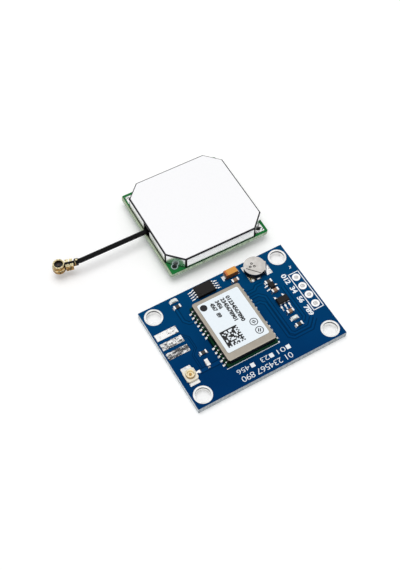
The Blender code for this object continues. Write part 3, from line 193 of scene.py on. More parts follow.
def add_mesh(name, bm, finish):
    """A bmesh as a new object with a finish."""
    mesh = bpy.data.meshes.new(name)
    bm.to_mesh(mesh)
    bm.free()
    mesh.materials.append(finish.material)
    return add_object(name, mesh)


def make_piece(name, bm, finish):
    """Makes a bmesh a finished piece that rides with the part."""
    bmesh.ops.recalc_face_normals(bm, faces=bm.faces)
    piece = add_mesh(name, bm, finish)
    piece.data.shade_smooth()
    piece.data.set_sharp_from_angle(angle=SMOOTH)
    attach(piece, "root")


def add_block(bm, low, high, turn=0.0, about=None):
    """A block between two corners, turned about an upright line."""
    low, high = Vector(low), Vector(high)
    centre = (low + high) / 2
    size = Matrix.Diagonal((*(high - low), 1.0))
    pivot = Vector(about) if about else centre
    spin = Matrix.Translation(pivot) @ Matrix.Rotation(turn, 4, "Z") @ Matrix.Translation(-pivot)
    bmesh.ops.create_cube(bm, size=1.0, matrix=spin @ Matrix.Translation(centre) @ size)


def add_disc(bm, centre, radius, height, segments=24, taper=1.0):
    """A flat round disc standing on its centre point."""
    place = Matrix.Translation(Vector(centre) + UP * height / 2)
    radii = {"radius1": radius, "radius2": radius * taper}
    bmesh.ops.create_cone(bm, cap_ends=True, segments=segments, depth=height, matrix=place, **radii)


def add_ring(bm, centre, radius, line, height, segments=40):
    """A flat ring, spun from its section."""
    x, y, z = centre
    place = Matrix.Translation((x + radius, y, z + height / 2)) @ Matrix.Rotation(pi / 2, 4, "X")
    size = Matrix.Diagonal((line, height, 1.0, 1.0))
    made = bmesh.ops.create_grid(bm, x_segments=1, y_segments=1, size=0.5, matrix=place @ size)
    faces = list({face for vert in made["verts"] for face in vert.link_faces})
    section = made["verts"] + list({edge for face in faces for edge in face.edges})
    bmesh.ops.spin(bm, geom=section, cent=centre, axis=UP, angle=2 * pi, steps=segments, use_merge=True)
    bmesh.ops.delete(bm, geom=faces, context="FACES_ONLY")


def add_joint(bm, node, axis, side, width, reach, rise, place=0.0, sink=0.0):
    """A solder fillet at a node's end, this far off its middle line and this deep in its end wall."""
    low, high, foot = extent(node)
    foot[axis] = (low if side < 0 else high)[axis] - side * sink
    foot[1 - axis] += place
    foot.z = BOARD_TOP
    outward = Vector()
    outward[axis] = side
    sideways = Vector((-outward.y, outward.x, 0.0))
    basis = Matrix((outward, sideways, UP)).transposed().to_4x4()
    centre = Matrix.Translation(foot + outward * reach / 2 + UP * rise / 2)
    size = Matrix.Diagonal((reach, width, rise, 1.0))
    verts = bmesh.ops.create_cube(bm, size=1.0, matrix=centre @ basis @ size)["verts"]
    for vert in verts:
        toe = (vert.co - foot).dot(outward) > reach / 2
        across = (vert.co - foot).dot(sideways)
        if vert.co.z > foot.z + rise / 2:
            vert.co -= sideways * across * (0.55 if toe else 0.3)
            if toe:
                vert.co.z = foot.z + rise * 0.25
                vert.co -= outward * reach * 0.22
    edges = list({edge for vert in verts for edge in vert.link_edges})
    offset = min(width, reach, rise) * 0.22
    bmesh.ops.bevel(bm, geom=edges, offset=offset, segments=2, profile=0.5, affect="EDGES", material=-1)


def take_mesh(curve):
    """The mesh of a curve or text, which is then taken away."""
    holder = add_object(curve.name, curve)
    graph = bpy.context.evaluated_depsgraph_get()
    mesh = bpy.data.meshes.new_from_object(holder.evaluated_get(graph))
    bpy.data.objects.remove(holder, do_unlink=True)
    bpy.data.curves.remove(curve)
    return mesh


def pour(bm, mesh):
    """Moves a mesh into a bmesh."""
    bm.from_mesh(mesh)
    bpy.data.meshes.remove(mesh)


def add_digits(bm, words, centre, wide, tall, turn, thickness, weight, spacing):
    """Plain digits that fill a rectangle in millimetres, reading along the turned X axis."""
    text = bpy.data.curves.new("digits", "FONT")
    text.body = words
    text.offset = weight
    text.space_character = spacing
    text.extrude = 0.01
    text.resolution_u = 3
    mesh = take_mesh(text)
    xs = [vert.co.x for vert in mesh.vertices]
    ys = [vert.co.y for vert in mesh.vertices]
    across = wide * MM / (max(xs) - min(xs))
    up = tall * MM / (max(ys) - min(ys))
    scale = Matrix.Diagonal((across, up, thickness / 0.02, 1.0))
    shift = Matrix.Translation((-(max(xs) + min(xs)) / 2, -(max(ys) + min(ys)) / 2, 0.01))
    mesh.transform(Matrix.Translation(centre) @ Matrix.Rotation(turn, 4, "Z") @ scale @ shift)
    pour(bm, mesh)


def add_runs(bm, routes, width, height):
    """Flat rounded strips on the blue board, along routes of (x, y) points in millimetres."""
    line = bpy.data.curves.new("runs", "CURVE")
    line.dimensions = "3D"
    line.bevel_depth = width / 2
    line.bevel_resolution = 1
    line.use_fill_caps = True
    for route in routes:
        spline = line.splines.new("POLY")
        spline.points.add(len(route) - 1)
        for point, (x, y) in zip(spline.points, route):
            point.co = (x * MM, y * MM, 0.0, 1.0)
    mesh = take_mesh(line)
    squash = Matrix.Diagonal((1.0, 1.0, height / (width / 2), 1.0))
    mesh.transform(Matrix.Translation(UP * BOARD_TOP) @ squash)
    pour(bm, mesh)


# Values and colours that nodes work out


def put(socket, value):
    """Links a worked-out value to a socket, or sets a plain one on it."""
    if isinstance(value, Value):
        socket.id_data.links.new(value.socket, socket)
    elif hasattr(socket.default_value, "__len__") and len(socket.default_value) == 4:
        socket.default_value = (*value[:3], 1.0)
    else:
        socket.default_value = value


def add_node(tree, kind, output, inputs=(), **settings):
    """A new node with its settings and inputs, as the value of one of its outputs."""
    node = tree.nodes.new(kind)
    for name, value in settings.items():
        setattr(node, name, value)
    for name, value in dict(inputs).items():
        put(node.inputs[name], value)
    return Value(node.outputs[output])


def reckon(kind, first, second=0.0):
    """One step of arithmetic on values."""
    tree = (first if isinstance(first, Value) else second).tree
    return add_node(tree, "ShaderNodeMath", "Value", {0: first, 1: second}, operation=kind)


def larger(first, second):
    """The larger of two values."""
    return reckon("MAXIMUM", first, second)


def smaller(first, second):
    """The smaller of two values."""
    return reckon("MINIMUM", first, second)


def apart(x, y):
    """Distance of a place from a point, from its two offsets."""
    pair = add_node(x.tree, "ShaderNodeCombineXYZ", "Vector", {"X": x, "Y": y})
    return add_node(x.tree, "ShaderNodeVectorMath", "Value", {0: pair}, operation="LENGTH")


def tint(value, amount):
    """A colour made lighter or darker."""
    return tuple(min(1.0, max(0.0, part * amount)) for part in value)


class Value:
    """A value or colour that nodes work out. Arithmetic on it adds nodes."""

    def __init__(self, socket):
        self.socket = socket
        self.tree = socket.id_data

    def __add__(self, other):
        return reckon("ADD", self, other)

    def __sub__(self, other):
        return reckon("SUBTRACT", self, other)

    def __rsub__(self, other):
        return reckon("SUBTRACT", other, self)

    def __mul__(self, other):
        return reckon("MULTIPLY", self, other)

    def __abs__(self):
        return reckon("ABSOLUTE", self)

    def part(self, axis):
        """One part of a vector, by its letter."""
        return add_node(self.tree, "ShaderNodeSeparateXYZ", axis, {"Vector": self})

    def window(self, low, high, start=0.0, end=1.0):
        """Turned from one range into another, held at its ends."""
        inputs = {"Value": self, "From Min": low, "From Max": high, "To Min": start, "To Max": end}
        return add_node(self.tree, "ShaderNodeMapRange", "Result", inputs)

    def between(self, first, second):
        """The colour at this share of the way from one colour to another."""
        inputs = {"Factor": self, 6: first, 7: second}
        return add_node(self.tree, "ShaderNodeMix", 2, inputs, data_type="RGBA")

    def tones(self, base, low, high):
        """The colour at this share of the way between two tones of one colour."""
        return self.between(tint(base, low), tint(base, high))


class Finish:
    """A material in the making. Its shader's inputs are set and read by their names."""

    def __init__(self, name, roughness, metallic=0.0, gloss=0.5):
        self.material = bpy.data.materials.new(name)
        self.material.use_nodes = True
        self.tree = self.material.node_tree
        self.shader = self.tree.nodes["Principled BSDF"]
        self["Roughness"] = roughness
        self["Metallic"] = metallic
        self["Specular IOR Level"] = gloss

    def __getitem__(self, name):
        return Value(self.shader.inputs[name].links[0].from_socket)

    def __setitem__(self, name, value):
        put(self.shader.inputs[name], value)

    def lay(self, share, over):
        """Lays a colour over the finish, where a share is one."""
        self["Base Color"] = share.between(self["Base Color"], over)

    def place(self, stretch=(1.0, 1.0, 1.0)):
        """Object coordinates in millimetres, stretched where a pattern runs one way."""
        where = add_node(self.tree, "ShaderNodeTexCoord", "Object")
        inputs = {"Vector": where, "Scale": [part / MM for part in stretch]}
        return add_node(self.tree, "ShaderNodeMapping", "Vector", inputs)

    def along(self, axis):
        """Place along X, Y or Z, in millimetres."""
        return self.place().part(axis)

    def offsets(self, point, turn=0.0):
        """Offsets from a point in millimetres, along X and Y turned about an upright line."""
        back = Matrix.Rotation(-turn, 3, "Z") @ Vector(point) / MM
        inputs = {"Vector": self.place(), "Rotation": (0.0, 0.0, -turn), "Location": -back}
        where = add_node(self.tree, "ShaderNodeMapping", "Vector", inputs)
        return where.part("X"), where.part("Y")

    def from_middle(self, node, turn=0.0):
        """Distances from a node's middle in millimetres, along X and Y turned about an upright line."""
        return [abs(offset) for offset in self.offsets(extent(node)[2], turn)]

    def facing(self, axis):
        """How far a surface faces along X, Y or Z."""
        return add_node(self.tree, "ShaderNodeNewGeometry", "Normal").part(axis)

    def cloud(self, size, detail=3.0, rough=0.55, stretch=(1.0, 1.0, 1.0)):
        """Smooth random values with blotches of about this size in millimetres."""
        inputs = {"Vector": self.place(stretch), "Scale": 1.0 / size, "Detail": detail, "Roughness": rough}
        return add_node(self.tree, "ShaderNodeTexNoise", "Fac", inputs)

    def relief(self, value, depth, strength=0.3):
        """The same finish with fine unevenness, its depth in millimetres."""
        inputs = {"Height": value, "Strength": strength, "Distance": depth * MM}
        self["Normal"] = add_node(self.tree, "ShaderNodeBump", "Normal", inputs)
        return self

    def tip_with_metal(self, beyond, body, metal, dull, bright):
        """Bare metal beyond a limit, another stuff within it, each with its roughness."""
        self["Base Color"] = beyond.between(body, metal)
        self["Metallic"] = beyond
        self["Roughness"] = beyond.window(0.0, 1.0, dull, bright)


# Finishes


def repaint(finish, *nodes):
    """Gives CAD nodes a finish."""
    for name in nodes:
        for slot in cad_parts[name].material_slots:
            slot.material = finish.material


def painted_light_front_to_back(finish, near, far):
    """Painted light: one colour at the blue board's front left corner, turning into another at its back right
    one, for the light falling across the board.
    """
    depth = finish.along("Y") + finish.along("X") * 0.3
    return depth.window(-13.0, 13.0).between(near, far)


def mask_finish(name, mask, edge, shaded_low_edge, levels, far=None, ends=1.0):
    """A board: mask on both faces, lighter towards the back when a far colour is given, as painted light; cut
    glass epoxy at its sides between two levels in millimetres, darker below them and on the sides facing
    along Y, as painted shade.
    """
    finish = Finish(name, 0.4, gloss=0.02)
    wide = finish.cloud(9.0, 2.0).window(0.3, 0.7)
    weave = finish.cloud(0.35, 4.0)
    face = wide.tones(mask, 0.93, 1.08)
    # Painted light: the mask turns lighter towards the back.
    if far:
        face = painted_light_front_to_back(finish, face, wide.tones(far, 0.93, 1.08))
    face = weave.window(0.35, 0.75, 0.0, 0.25).between(face, tint(mask, 1.25))
    # Painted shade: the cut edge is darker below the levels, at the board's foot.
    cut = finish.along("Z").window(*levels).between(shaded_low_edge, edge)
    # Painted shade: the sides facing along Y are darker by the share ends.
    cut = abs(finish.facing("Y")).window(0.5, 0.8).between(cut, tint(edge, ends))
    fibres = finish.cloud(0.5, 2.0, stretch=(1.0, 1.0, 0.5))
    cut = fibres.window(0.48, 0.54, 0.0, 0.45).between(cut, tint(edge, 0.32))
    side = abs(finish.facing("Z")).window(0.35, 0.65)
    finish["Base Color"] = side.between(cut, face)
    finish["Roughness"] = side.window(0.0, 1.0, 0.75, 0.4)
    return finish.relief(weave, 0.01, 0.25)


def track_finish(name, look, tone):
    """The blue mask in another tone, over a track or in the gap beside it."""
    finish = Finish(name, 0.4, gloss=0.02)
    # Painted light: the tone changes from front to back.
    finish["Base Color"] = painted_light_front_to_back(finish, tint(look.mask, tone), tint(look.mask_lit_behind, tone))
    return finish


def tin_finish(name, tin, dull, low, high, size, unevenness=0.02):
    """Bright tin with duller patches, smooth in places and frosty in others."""
    finish = Finish(name, low, 1.0)
    patches = finish.cloud(size)
    finish["Base Color"] = patches.window(0.38, 0.66).between(tin, dull)
    finish["Roughness"] = finish.cloud(size / 5).window(0.3, 0.7, low, high)
    return finish.relief(patches, unevenness, 0.6)


def painted_reflection_tin_finish(name, tin):
    """Hand-levelled tin on the long pads, with bright and near-black streaks painted into its colour as
    reflection.
    """
    finish = Finish(name, 0.2, 1.0)
    broad = finish.cloud(0.5, 3.0, 0.65, (0.45, 1.3, 1.0))
    fine = finish.cloud(0.1, 4.0, 0.7, (0.6, 1.0, 1.0))
    both = broad * 0.5 + fine * 0.5
    share = both + finish.along("Y").window(0.6, 5.6, -0.05, 0.05)
    # Painted reflection: near-black streaks in the tin's colour.
    finish["Base Color"] = share.window(0.46, 0.505).between((0.07, 0.07, 0.075), tin)
    finish["Roughness"] = broad.window(0.3, 0.7, 0.12, 0.35)
    return finish.relief(both, 0.05, 0.7)


def beyond_can(finish, low, high):
    """Zero within this distance of the middle of the antenna's eight-sided can, one beyond it."""
    x, y = finish.from_middle("antenna_shield", CAN_TURN)
    corner = x + y - (CAN_HALF - CAN_LEG)
    return larger(larger(x, y), corner).window(low, high)


def solder_corners(finish):
    """Lays pitted white solder over a finish at the antenna's left and right corners; the near-black in its
    pitting is painted shade.
    """
    along, across = finish.offsets(extent("antenna_board")[2], CAN_TURN)
    sides = (along * across).window(-1.0, 1.0, 1.0, 0.0)
    x, y = abs(along), abs(across)
    near = smaller(x, y).window(8.8, 9.0)
    inner = larger(x, y).window(ANTENNA_HALF - 0.7, ANTENNA_HALF - 0.6, 1.0, 0.0)
    shaded_pits = finish.cloud(0.3).window(0.42, 0.47)
    # Painted shade: near-black in the pitting.
    finish.lay(sides * (near * inner), shaded_pits.between((0.01, 0.02, 0.01), WHITE))


def antenna_can_finish(metal):
    """Bright tinplate: an even matt top and mirror walls; its rounded bends and a line round the top's edge
    are painted dark as reflection, and its inside is painted near-black as shade.
    """
    finish = Finish("antenna_tinplate", 0.3, 1.0)
    lid = extent("antenna_shield")[1].z / MM
    grain = finish.cloud(0.5, 4.0, 0.7)
    upward = finish.facing("Z")
    top = upward.window(0.975, 0.995)
    smear = finish.cloud(1.2, stretch=(0.4, 0.4, 2.0))
    wall = smear.window(0.35, 0.7).tones(metal, 0.97, 1.0)
    x, y = finish.from_middle("antenna_shield", CAN_TURN)
    seam = apart(larger(x, y) - CAN_HALF, smaller(x, y) - (CAN_HALF - CAN_LEG)).window(0.24, 0.3)
    wall = seam.between((0.004, 0.004, 0.004), wall)
    # Painted reflection: the rounded folds between top and walls are dark.
    dark_fold_reflection = upward.window(0.02, 0.12).between(wall, (0.03, 0.03, 0.034))
    over = finish.along("Z").window(lid - 0.12, lid - 0.06)
    outer = larger(over, beyond_can(finish, CAN_HALF - 0.12, CAN_HALF - 0.06))
    # Painted reflection: a dark line round the top's edge, next to the folds.
    rim = beyond_can(finish, CAN_HALF - 0.38, CAN_HALF - 0.3)
    mottled = grain.window(0.35, 0.7).tones(metal, 0.985, 1.0)
    skin = top.between(dark_fold_reflection, rim.between(mottled, (0.06, 0.06, 0.065)))
    # Painted shade: near-black inside the can.
    finish["Base Color"] = outer.between((0.008, 0.008, 0.008), skin)
    finish["Metallic"] = outer * top.window(0.0, 1.0, 0.92, 0.85)
    finish["Roughness"] = top.window(0.0, 1.0, 0.26, 0.5)
    return finish.relief(grain, 0.003, 0.15)


def receiver_can_finish(metal):
    """Satin nickel silver with fine drawing lines, a painted highlight along the folds of its top, and
    painted shade on its side walls.
    """
    finish = Finish("receiver_nickel_silver", 0.38, 1.0)
    lines = finish.cloud(0.5, 4.0, stretch=(6.0, 0.5, 1.0))
    base = finish.cloud(1.6).window(0.35, 0.7).tones(metal, 0.94, 1.07)
    upward = finish.facing("Z")
    # Painted highlight: lighter along the folds of the top.
    fold_highlight = upward.window(0.45, 0.7) * upward.window(0.99, 0.9)
    skin = fold_highlight.between(base, tint(metal, 1.4))
    # Painted shade: the side walls are near-black.
    finish["Base Color"] = upward.window(0.3, 0.5).between((0.035, 0.032, 0.024), skin)
    finish["Roughness"] = lines.window(0.3, 0.7, 0.32, 0.5)
    return finish.relief(lines, 0.004)


def ink_finish(name, ink, worn):
    """Printed ink, a little uneven."""
    finish = Finish(name, 0.5, gloss=0.3)
    finish["Base Color"] = finish.cloud(0.12).window(0.3, 0.75).tones(ink, 1.0, 1.0 - worn)
    return finish


def mould_chip(node, mould, metal, axis, half):
    """Gives a chip its moulded body, and bare leads beyond this distance from its middle."""
    finish = Finish(f"{node}_mould", 0.48, gloss=0.2)
    centre = extent(node)[2]["XYZ".index(axis)] / MM
    beyond = abs(finish.along(axis) - centre).window(half - 0.01, half + 0.01)
    grain = finish.cloud(0.08)
    finish.tip_with_metal(beyond, grain.tones(mould, 0.75, 1.5), metal, 0.48, 0.22)
    finish.relief(grain, 0.006, 0.35)
    repaint(finish, node)


def cap_ends(node, name, body, metal, axis="X", cap=0.34, spots=0.0, roughness=0.4):
    """Gives a small part its body, and a metal cap on each end."""
    finish = Finish(name, roughness)
    low, high, centre = (corner["XYZ".index(axis)] / MM for corner in extent(node))
    half = (high - low) / 2 - cap
    ragged = finish.cloud(0.25, 2.0).window(0.3, 0.7, -0.04, 0.04)
    beyond = (abs(finish.along(axis) - centre) + ragged).window(half - 0.02, half + 0.02)
    grain = finish.cloud(0.12).window(0.3, 0.7)
    finish.tip_with_metal(beyond, grain.tones(body, 0.8, 1.2 + spots), metal, roughness, 0.24)
    finish.relief(grain, 0.004)
    repaint(finish, node)


def tantalum_finish(top, side):
    """Orange compound with a darker band at one end, and its sides painted brown as shade."""
    finish = Finish("tantalum_compound", 0.42)
    grain = finish.cloud(0.15)
    start = extent("tantalum_body")[0].x / MM + 0.45
    band = finish.along("X").window(start, start + 0.05)
    face = band.between((0.5, 0.13, 0.03), grain.tones(top, 0.9, 1.1))
    # Painted shade: the sides are darker than the top.
    finish["Base Color"] = finish.facing("Z").window(0.3, 0.6).between(side, face)
    return finish.relief(grain, 0.004)


def soft_finish(name, base, roughness, size=0.2, spread=0.15, gloss=0.5, detail=3.0, strength=0.3):
    """An even moulded, fired or paper surface with a fine grain."""
    finish = Finish(name, roughness, gloss=gloss)
    grain = finish.cloud(size, detail)
    finish["Base Color"] = grain.tones(base, 1 - spread, 1 + spread)
    return finish.relief(grain, 0.004, strength)


def gold_finish(name, gold, shade):
    """Gold flash over stamped metal, painted darker and redder on its sides and in its hollows as shade and
    reflection.
    """
    finish = Finish(name, 0.18, 1.0)
    patch = finish.cloud(0.35).window(0.45, 0.56)
    light = patch.tones(gold, 1.0, 0.5)
    dark = patch.tones(shade, 1.0, 0.2)
    # Painted shade and reflection: surfaces that don't face up are darker.
    finish["Base Color"] = finish.facing("Z").window(0.2, 0.9).between(dark, light)
    finish["Roughness"] = patch.window(0.0, 1.0, 0.14, 0.3)
    return finish.relief(patch, 0.01, 0.4)


def in_barrel(finish, radius):
    """One within this distance of the socket's upright middle line, zero outside it."""
    return apart(*finish.from_middle("socket_shell")).window(radius, radius + 0.03, 1.0, 0.0)


def socket_finish(tin):
    """The socket's shell: gold on its barrel, painted darker beyond the barrel's top as shade on its outer
    wall, and bare tin on its feet.
    """
    finish = Finish("socket_gold", 0.2, 1.0)
    patch = finish.cloud(0.4).window(0.4, 0.65)
    # Painted shade: darker gold beyond the barrel's top ring.
    gold = in_barrel(finish, 0.93).between((0.42, 0.28, 0.12), (1.0, 0.9, 0.66))
    feet = patch.between(tin, (0.6, 0.59, 0.58))
    high = finish.along("Z").window(BOARD_TOP / MM + 0.35, BOARD_TOP / MM + 0.5)
    finish["Base Color"] = high.between(feet, gold)
    return finish.relief(patch, 0.01, 0.4)


def base_finish(ivory):
    """The socket's moulding, lit golden by the barrel inside it."""
    finish = soft_finish("socket_moulding", ivory, 0.42, 0.4, 0.06)
    finish.lay(in_barrel(finish, 0.76), (0.96, 0.84, 0.58))
    return finish


def pin_finish(tin):
    """The socket's pin: gold in the middle, bare tin on its tail."""
    finish = Finish("pin_gold", 0.25, 1.0)
    finish["Base Color"] = in_barrel(finish, 0.8).between(tin, (0.55, 0.32, 0.08))
    return finish


# Operators


class RECEIVER_OT_finish_boards(bpy.types.Operator):
    """Gives the three boards their mask and cut edges"""

    bl_idname = "receiver.finish_boards"
    bl_label = "Finish Boards"

    def execute(self, context):
        look = context.scene.receiver_board
        edge = look.glass_epoxy
        # tint(edge, 0.62) and 0.66 are painted shade on the blue board's cut edge.
        blue = mask_finish("blue_mask", look.mask, edge, tint(edge, 0.62), (0.0, 0.5), look.mask_lit_behind, 0.66)
        self.shade_beside_receiver(blue)
        repaint(blue, "circuit_board")
        green = look.module_green
        # tint(green, 0.9) is painted shade at the foot of the module's cut edge.
        module = mask_finish("module_mask", green, tint(green, 1.3), tint(green, 0.9), (1.6, 2.4))
        repaint(module, "receiver_board")
        low, high, centre = extent("antenna_board")
        levels = (low.z / MM + 0.35, high.z / MM - 0.35)
        # (0.4, 0.5, 0.36) is painted shade at the foot of the antenna board's cut edge.
        antenna = mask_finish("antenna_mask", look.antenna_green, (0.66, 0.8, 0.6), (0.4, 0.5, 0.36), levels)
        self.dress_antenna_board(antenna)
        repaint(antenna, "antenna_board")
        return {"FINISHED"}

    def shade_beside_receiver(self, finish):
        """A dark line of painted shade along both sides of the receiver, between its joints."""
        low, high, centre = extent("receiver_board")
        half = (high - low) / 2 / MM
        x, y = finish.from_middle("receiver_board")
        beside = x.window(half.x + 0.24, half.x + 0.36, 1.0, 0.0)
        between_ends = y.window(half.y - 0.6, half.y - 0.4, 0.9, 0.0)
        finish.lay(beside * between_ends, (0.001, 0.004, 0.008))

    def dress_antenna_board(self, finish):
        """A bare margin at the lead's edge, and a dark line of painted shade where the can stands."""
        upward = finish.facing("Z").window(0.5, 0.7)
        across = finish.offsets(extent("antenna_board")[2], CAN_TURN)[0]
        margin = across.window(-ANTENNA_HALF + 0.3, -ANTENNA_HALF + 0.26)
        finish.lay(upward * margin, (0.36, 0.41, 0.29))
        solder_corners(finish)
        # Painted shade: dark at the foot of the can.
        near = 1.0 - beyond_can(finish, CAN_HALF + 0.1, CAN_HALF + 0.16)
        finish.lay(upward * near, (0.004, 0.008, 0.005))


class RECEIVER_OT_finish_metal(bpy.types.Operator):
    """Gives rings, lands, pads, cans and tabs their metal"""

    bl_idname = "receiver.finish_metal"
    bl_label = "Finish Metal"

    def execute(self, context):
        metal = context.scene.receiver_metal
        tin = metal.tin
        ring = tin_finish("ring_tin", tin, tint(tin, 0.8), 0.1, 0.3, 1.4)
        self.shade_hole_mouth(ring)
        repaint(ring, *numbered("mounting_ring", 4))
        land = tin_finish("land_tin", tin, tint(tin, 0.72), 0.12, 0.35, 0.5)
        repaint(land, "feed_pin", "tantalum_plus_tab", "tantalum_minus_tab")
        bright = tin_finish("header_tin", (0.99, 0.99, 0.99), (0.95, 0.94, 0.94), 0.12, 0.25, 0.5)
        repaint(bright, *numbered("header_land", 4))
        repaint(self.covered_land(context), *numbered("antenna_land", 4))
        repaint(painted_reflection_tin_finish("pad_tin", tin), *numbered("edge_pad", 3))
        repaint(antenna_can_finish(metal.antenna_top), "antenna_shield")
        repaint(receiver_can_finish(metal.nickel), "receiver_shield")
        silver = tin_finish("fired_silver", (0.8, 0.79, 0.76), (0.62, 0.6, 0.57), 0.4, 0.6, 0.8)
        repaint(silver, "patch_electrode", "receiver_crystal", "amplifier_filter")
        gold = gold_finish("plug_gold", metal.gold, (0.45, 0.26, 0.08))
        self.sleeve_crimp(gold)
        repaint(gold, "plug_shell")
        repaint(pin_finish(tin), "socket_pin")
        # Painted shade: the plug's inner contact is painted dark.
        repaint(gold_finish("contact_painted_dark", (0.16, 0.12, 0.1), (0.05, 0.04, 0.03)), "plug_contact")
        repaint(socket_finish(tin), "socket_shell")
        return {"FINISHED"}

    def covered_land(self, context):
        """The antenna's corner lands: a bright rim round each hole, mask or solder outside it."""
        finish = Finish("covered_land", 0.3, 1.0)
        x, y = finish.from_middle("antenna_board", CAN_TURN)
        covered = apart(x - ANTENNA_HOLE, y - ANTENNA_HOLE).window(0.66, 0.78)
        green = tint(context.scene.receiver_board.antenna_green, 0.6)
        finish["Base Color"] = covered.between((0.5, 0.66, 0.63), green)
        finish["Metallic"] = covered.window(0.0, 1.0, 0.8, 0.0)
        solder_corners(finish)
        return finish

    def sleeve_crimp(self, finish):
        """A black sleeve over the plug's last crimp, with one bare spot."""
        low, high, centre = extent("plug_shell")
        x, y = finish.offsets((high.x - 0.5 * MM, low.y + 0.85 * MM, 0.0))
        bare = apart(x, y).window(0.2, 0.3)
        finish.lay(bare * x.window(-0.5, -0.42), (0.01, 0.01, 0.01))

    def shade_hole_mouth(self, finish):
        """A dark band of painted shade just inside the mouth of each plated hole."""
        level = finish.along("Z")
        top = BOARD_TOP / MM
        under = 1.0 - level.window(top - 0.04, top - 0.01)
        band = under * level.window(top - 0.5, top - 0.4)
        steep = abs(finish.facing("Z")).window(0.3, 0.6, 1.0, 0.0)
        finish.lay(steep * band, (0.03, 0.03, 0.033))


class RECEIVER_OT_finish_cell(bpy.types.Operator):
    """Gives the backup cell its lid, can, gasket and tabs"""

    bl_idname = "receiver.finish_cell"
    bl_label = "Finish Backup Cell"

    def execute(self, context):
        tin = context.scene.receiver_metal.tin
        repaint(self.lid_finish(tin), "cell_top_tab")
        # Painted shade: the cell's can and cap are near-black, for the shade under the lid.
        can = tin_finish("cell_can_painted_dark", (0.06, 0.055, 0.05), (0.03, 0.028, 0.025), 0.3, 0.5, 0.8)
        repaint(can, "cell_can", "cell_cap")
        repaint(self.fork_finish(tin), "cell_bottom_tab")
        repaint(soft_finish("cell_seal", (0.012, 0.012, 0.012), 0.5), "cell_gasket")
        return {"FINISHED"}

    def lid_finish(self, tin):
        """Rolled steel with dark weld marks and crease, tinned where it comes down to the board."""
        finish = Finish("cell_steel", 0.35, 1.0)
        patches = finish.cloud(1.6)
        steel = patches.window(0.38, 0.66).between((0.7, 0.675, 0.645), (0.55, 0.525, 0.495))
        level = finish.along("Z")
        top = extent("cell_top_tab")[1].z / MM
        sunk = 1.0 - level.window(top - 0.03, top - 0.015)
        marks = sunk * level.window(top - 0.11, top - 0.1) * finish.facing("Z").window(0.5, 0.7)
        turned = radians(-49.0)
        for turn in (0, 1, 2):
            arm = Matrix.Rotation(turned + turn * 2 * pi / 3, 2) @ Vector((0.52, 0.0))
            arm += Matrix.Rotation(turned, 2) @ Vector((-0.5, -0.17))
            x, y = finish.offsets(extent("cell_can")[2] + arm.to_3d() * MM)
            marks = marks * apart(x, y).window(0.1, 0.14)
        upper = marks.between(steel, (0.045, 0.042, 0.04))
        finish["Base Color"] = level.window(top - 1.0, top - 0.4).between(tin, upper)
        finish["Roughness"] = finish.cloud(0.3).window(0.3, 0.7, 0.28, 0.45)
        return finish.relief(patches, 0.02, 0.6)

    def fork_finish(self, tin):
        """The lower tab: one leg stained gold by heat, the other bright."""
        finish = Finish("cell_tab_steel", 0.25, 0.35)
        centre = extent("cell_bottom_tab")[2].x / MM
        right = finish.along("X").window(centre - 0.05, centre + 0.05)
        patches = finish.cloud(0.45).window(0.46, 0.56)
        gold = patches.between((1.0, 0.95, 0.74), (0.3, 0.22, 0.1))
        finish["Base Color"] = right.between(gold, tin)
        return finish.relief(patches, 0.03, 0.6)


class RECEIVER_OT_finish_parts(bpy.types.Operator):
    """Gives the chips, small parts, socket and inner pieces their finishes"""

    bl_idname = "receiver.finish_parts"
    bl_label = "Finish Parts"

    def execute(self, context):
        look = context.scene.receiver_parts
        tin = context.scene.receiver_metal.tin
        chips = (("memory_chip", "X", 2.2), ("regulator", "Y", 0.8), ("transistor", "X", 0.65))
        for name, axis, half in chips:
            mould_chip(name, look.mould, tin, axis, half)
        for name in numbered("resistor", 4):
            cap_ends(name, f"{name}_film", (0.02, 0.02, 0.022), tin, spots=0.3, roughness=0.3)
        for name in numbered("capacitor", 3):
            cap_ends(name, f"{name}_ceramic", look.tan_ceramic, tin)
        cap_ends("inductor", "inductor_ceramic", (0.82, 0.82, 0.8), tin, "Y")
        for name in numbered("led", 2):
            cap_ends(f"{name}_base", f"{name}_laminate", (0.7, 0.7, 0.66), tin, cap=0.3)
        lens = Finish("led_epoxy", 0.12)
        glow = lens.cloud(0.3, 2.0).window(0.35, 0.65)
        lens["Base Color"] = glow.between((0.7, 0.74, 0.68), (0.96, 0.98, 0.96))
        repaint(lens, "led_1_lens", "led_2_lens")
        repaint(tantalum_finish(look.tantalum, look.tantalum_shaded_side), "tantalum_body")
        repaint(base_finish(look.ivory), "socket_base")
        repaint(soft_finish("inner_mould", look.mould, 0.5), "receiver_chip", "amplifier_chip")
        for node, *recipe in (
            ("receiver_label", "label_paper", look.label, 0.55, 0.6, 0.03, 0.3, 4.0, 0.2),
            ("plug_insulator", "plug_moulding", (0.012, 0.012, 0.013), 0.4),
            ("receiver_filter", "filter_ceramic", (0.8, 0.78, 0.72), 0.45),
            ("antenna_patch", "patch_ceramic", (0.58, 0.5, 0.38), 0.6, 0.5),
            ("antenna_lead", "lead_sheath", look.sheath, 0.34, 0.5, 0.3, 0.1),
        ):
            repaint(soft_finish(*recipe), node)
        return {"FINISHED"}


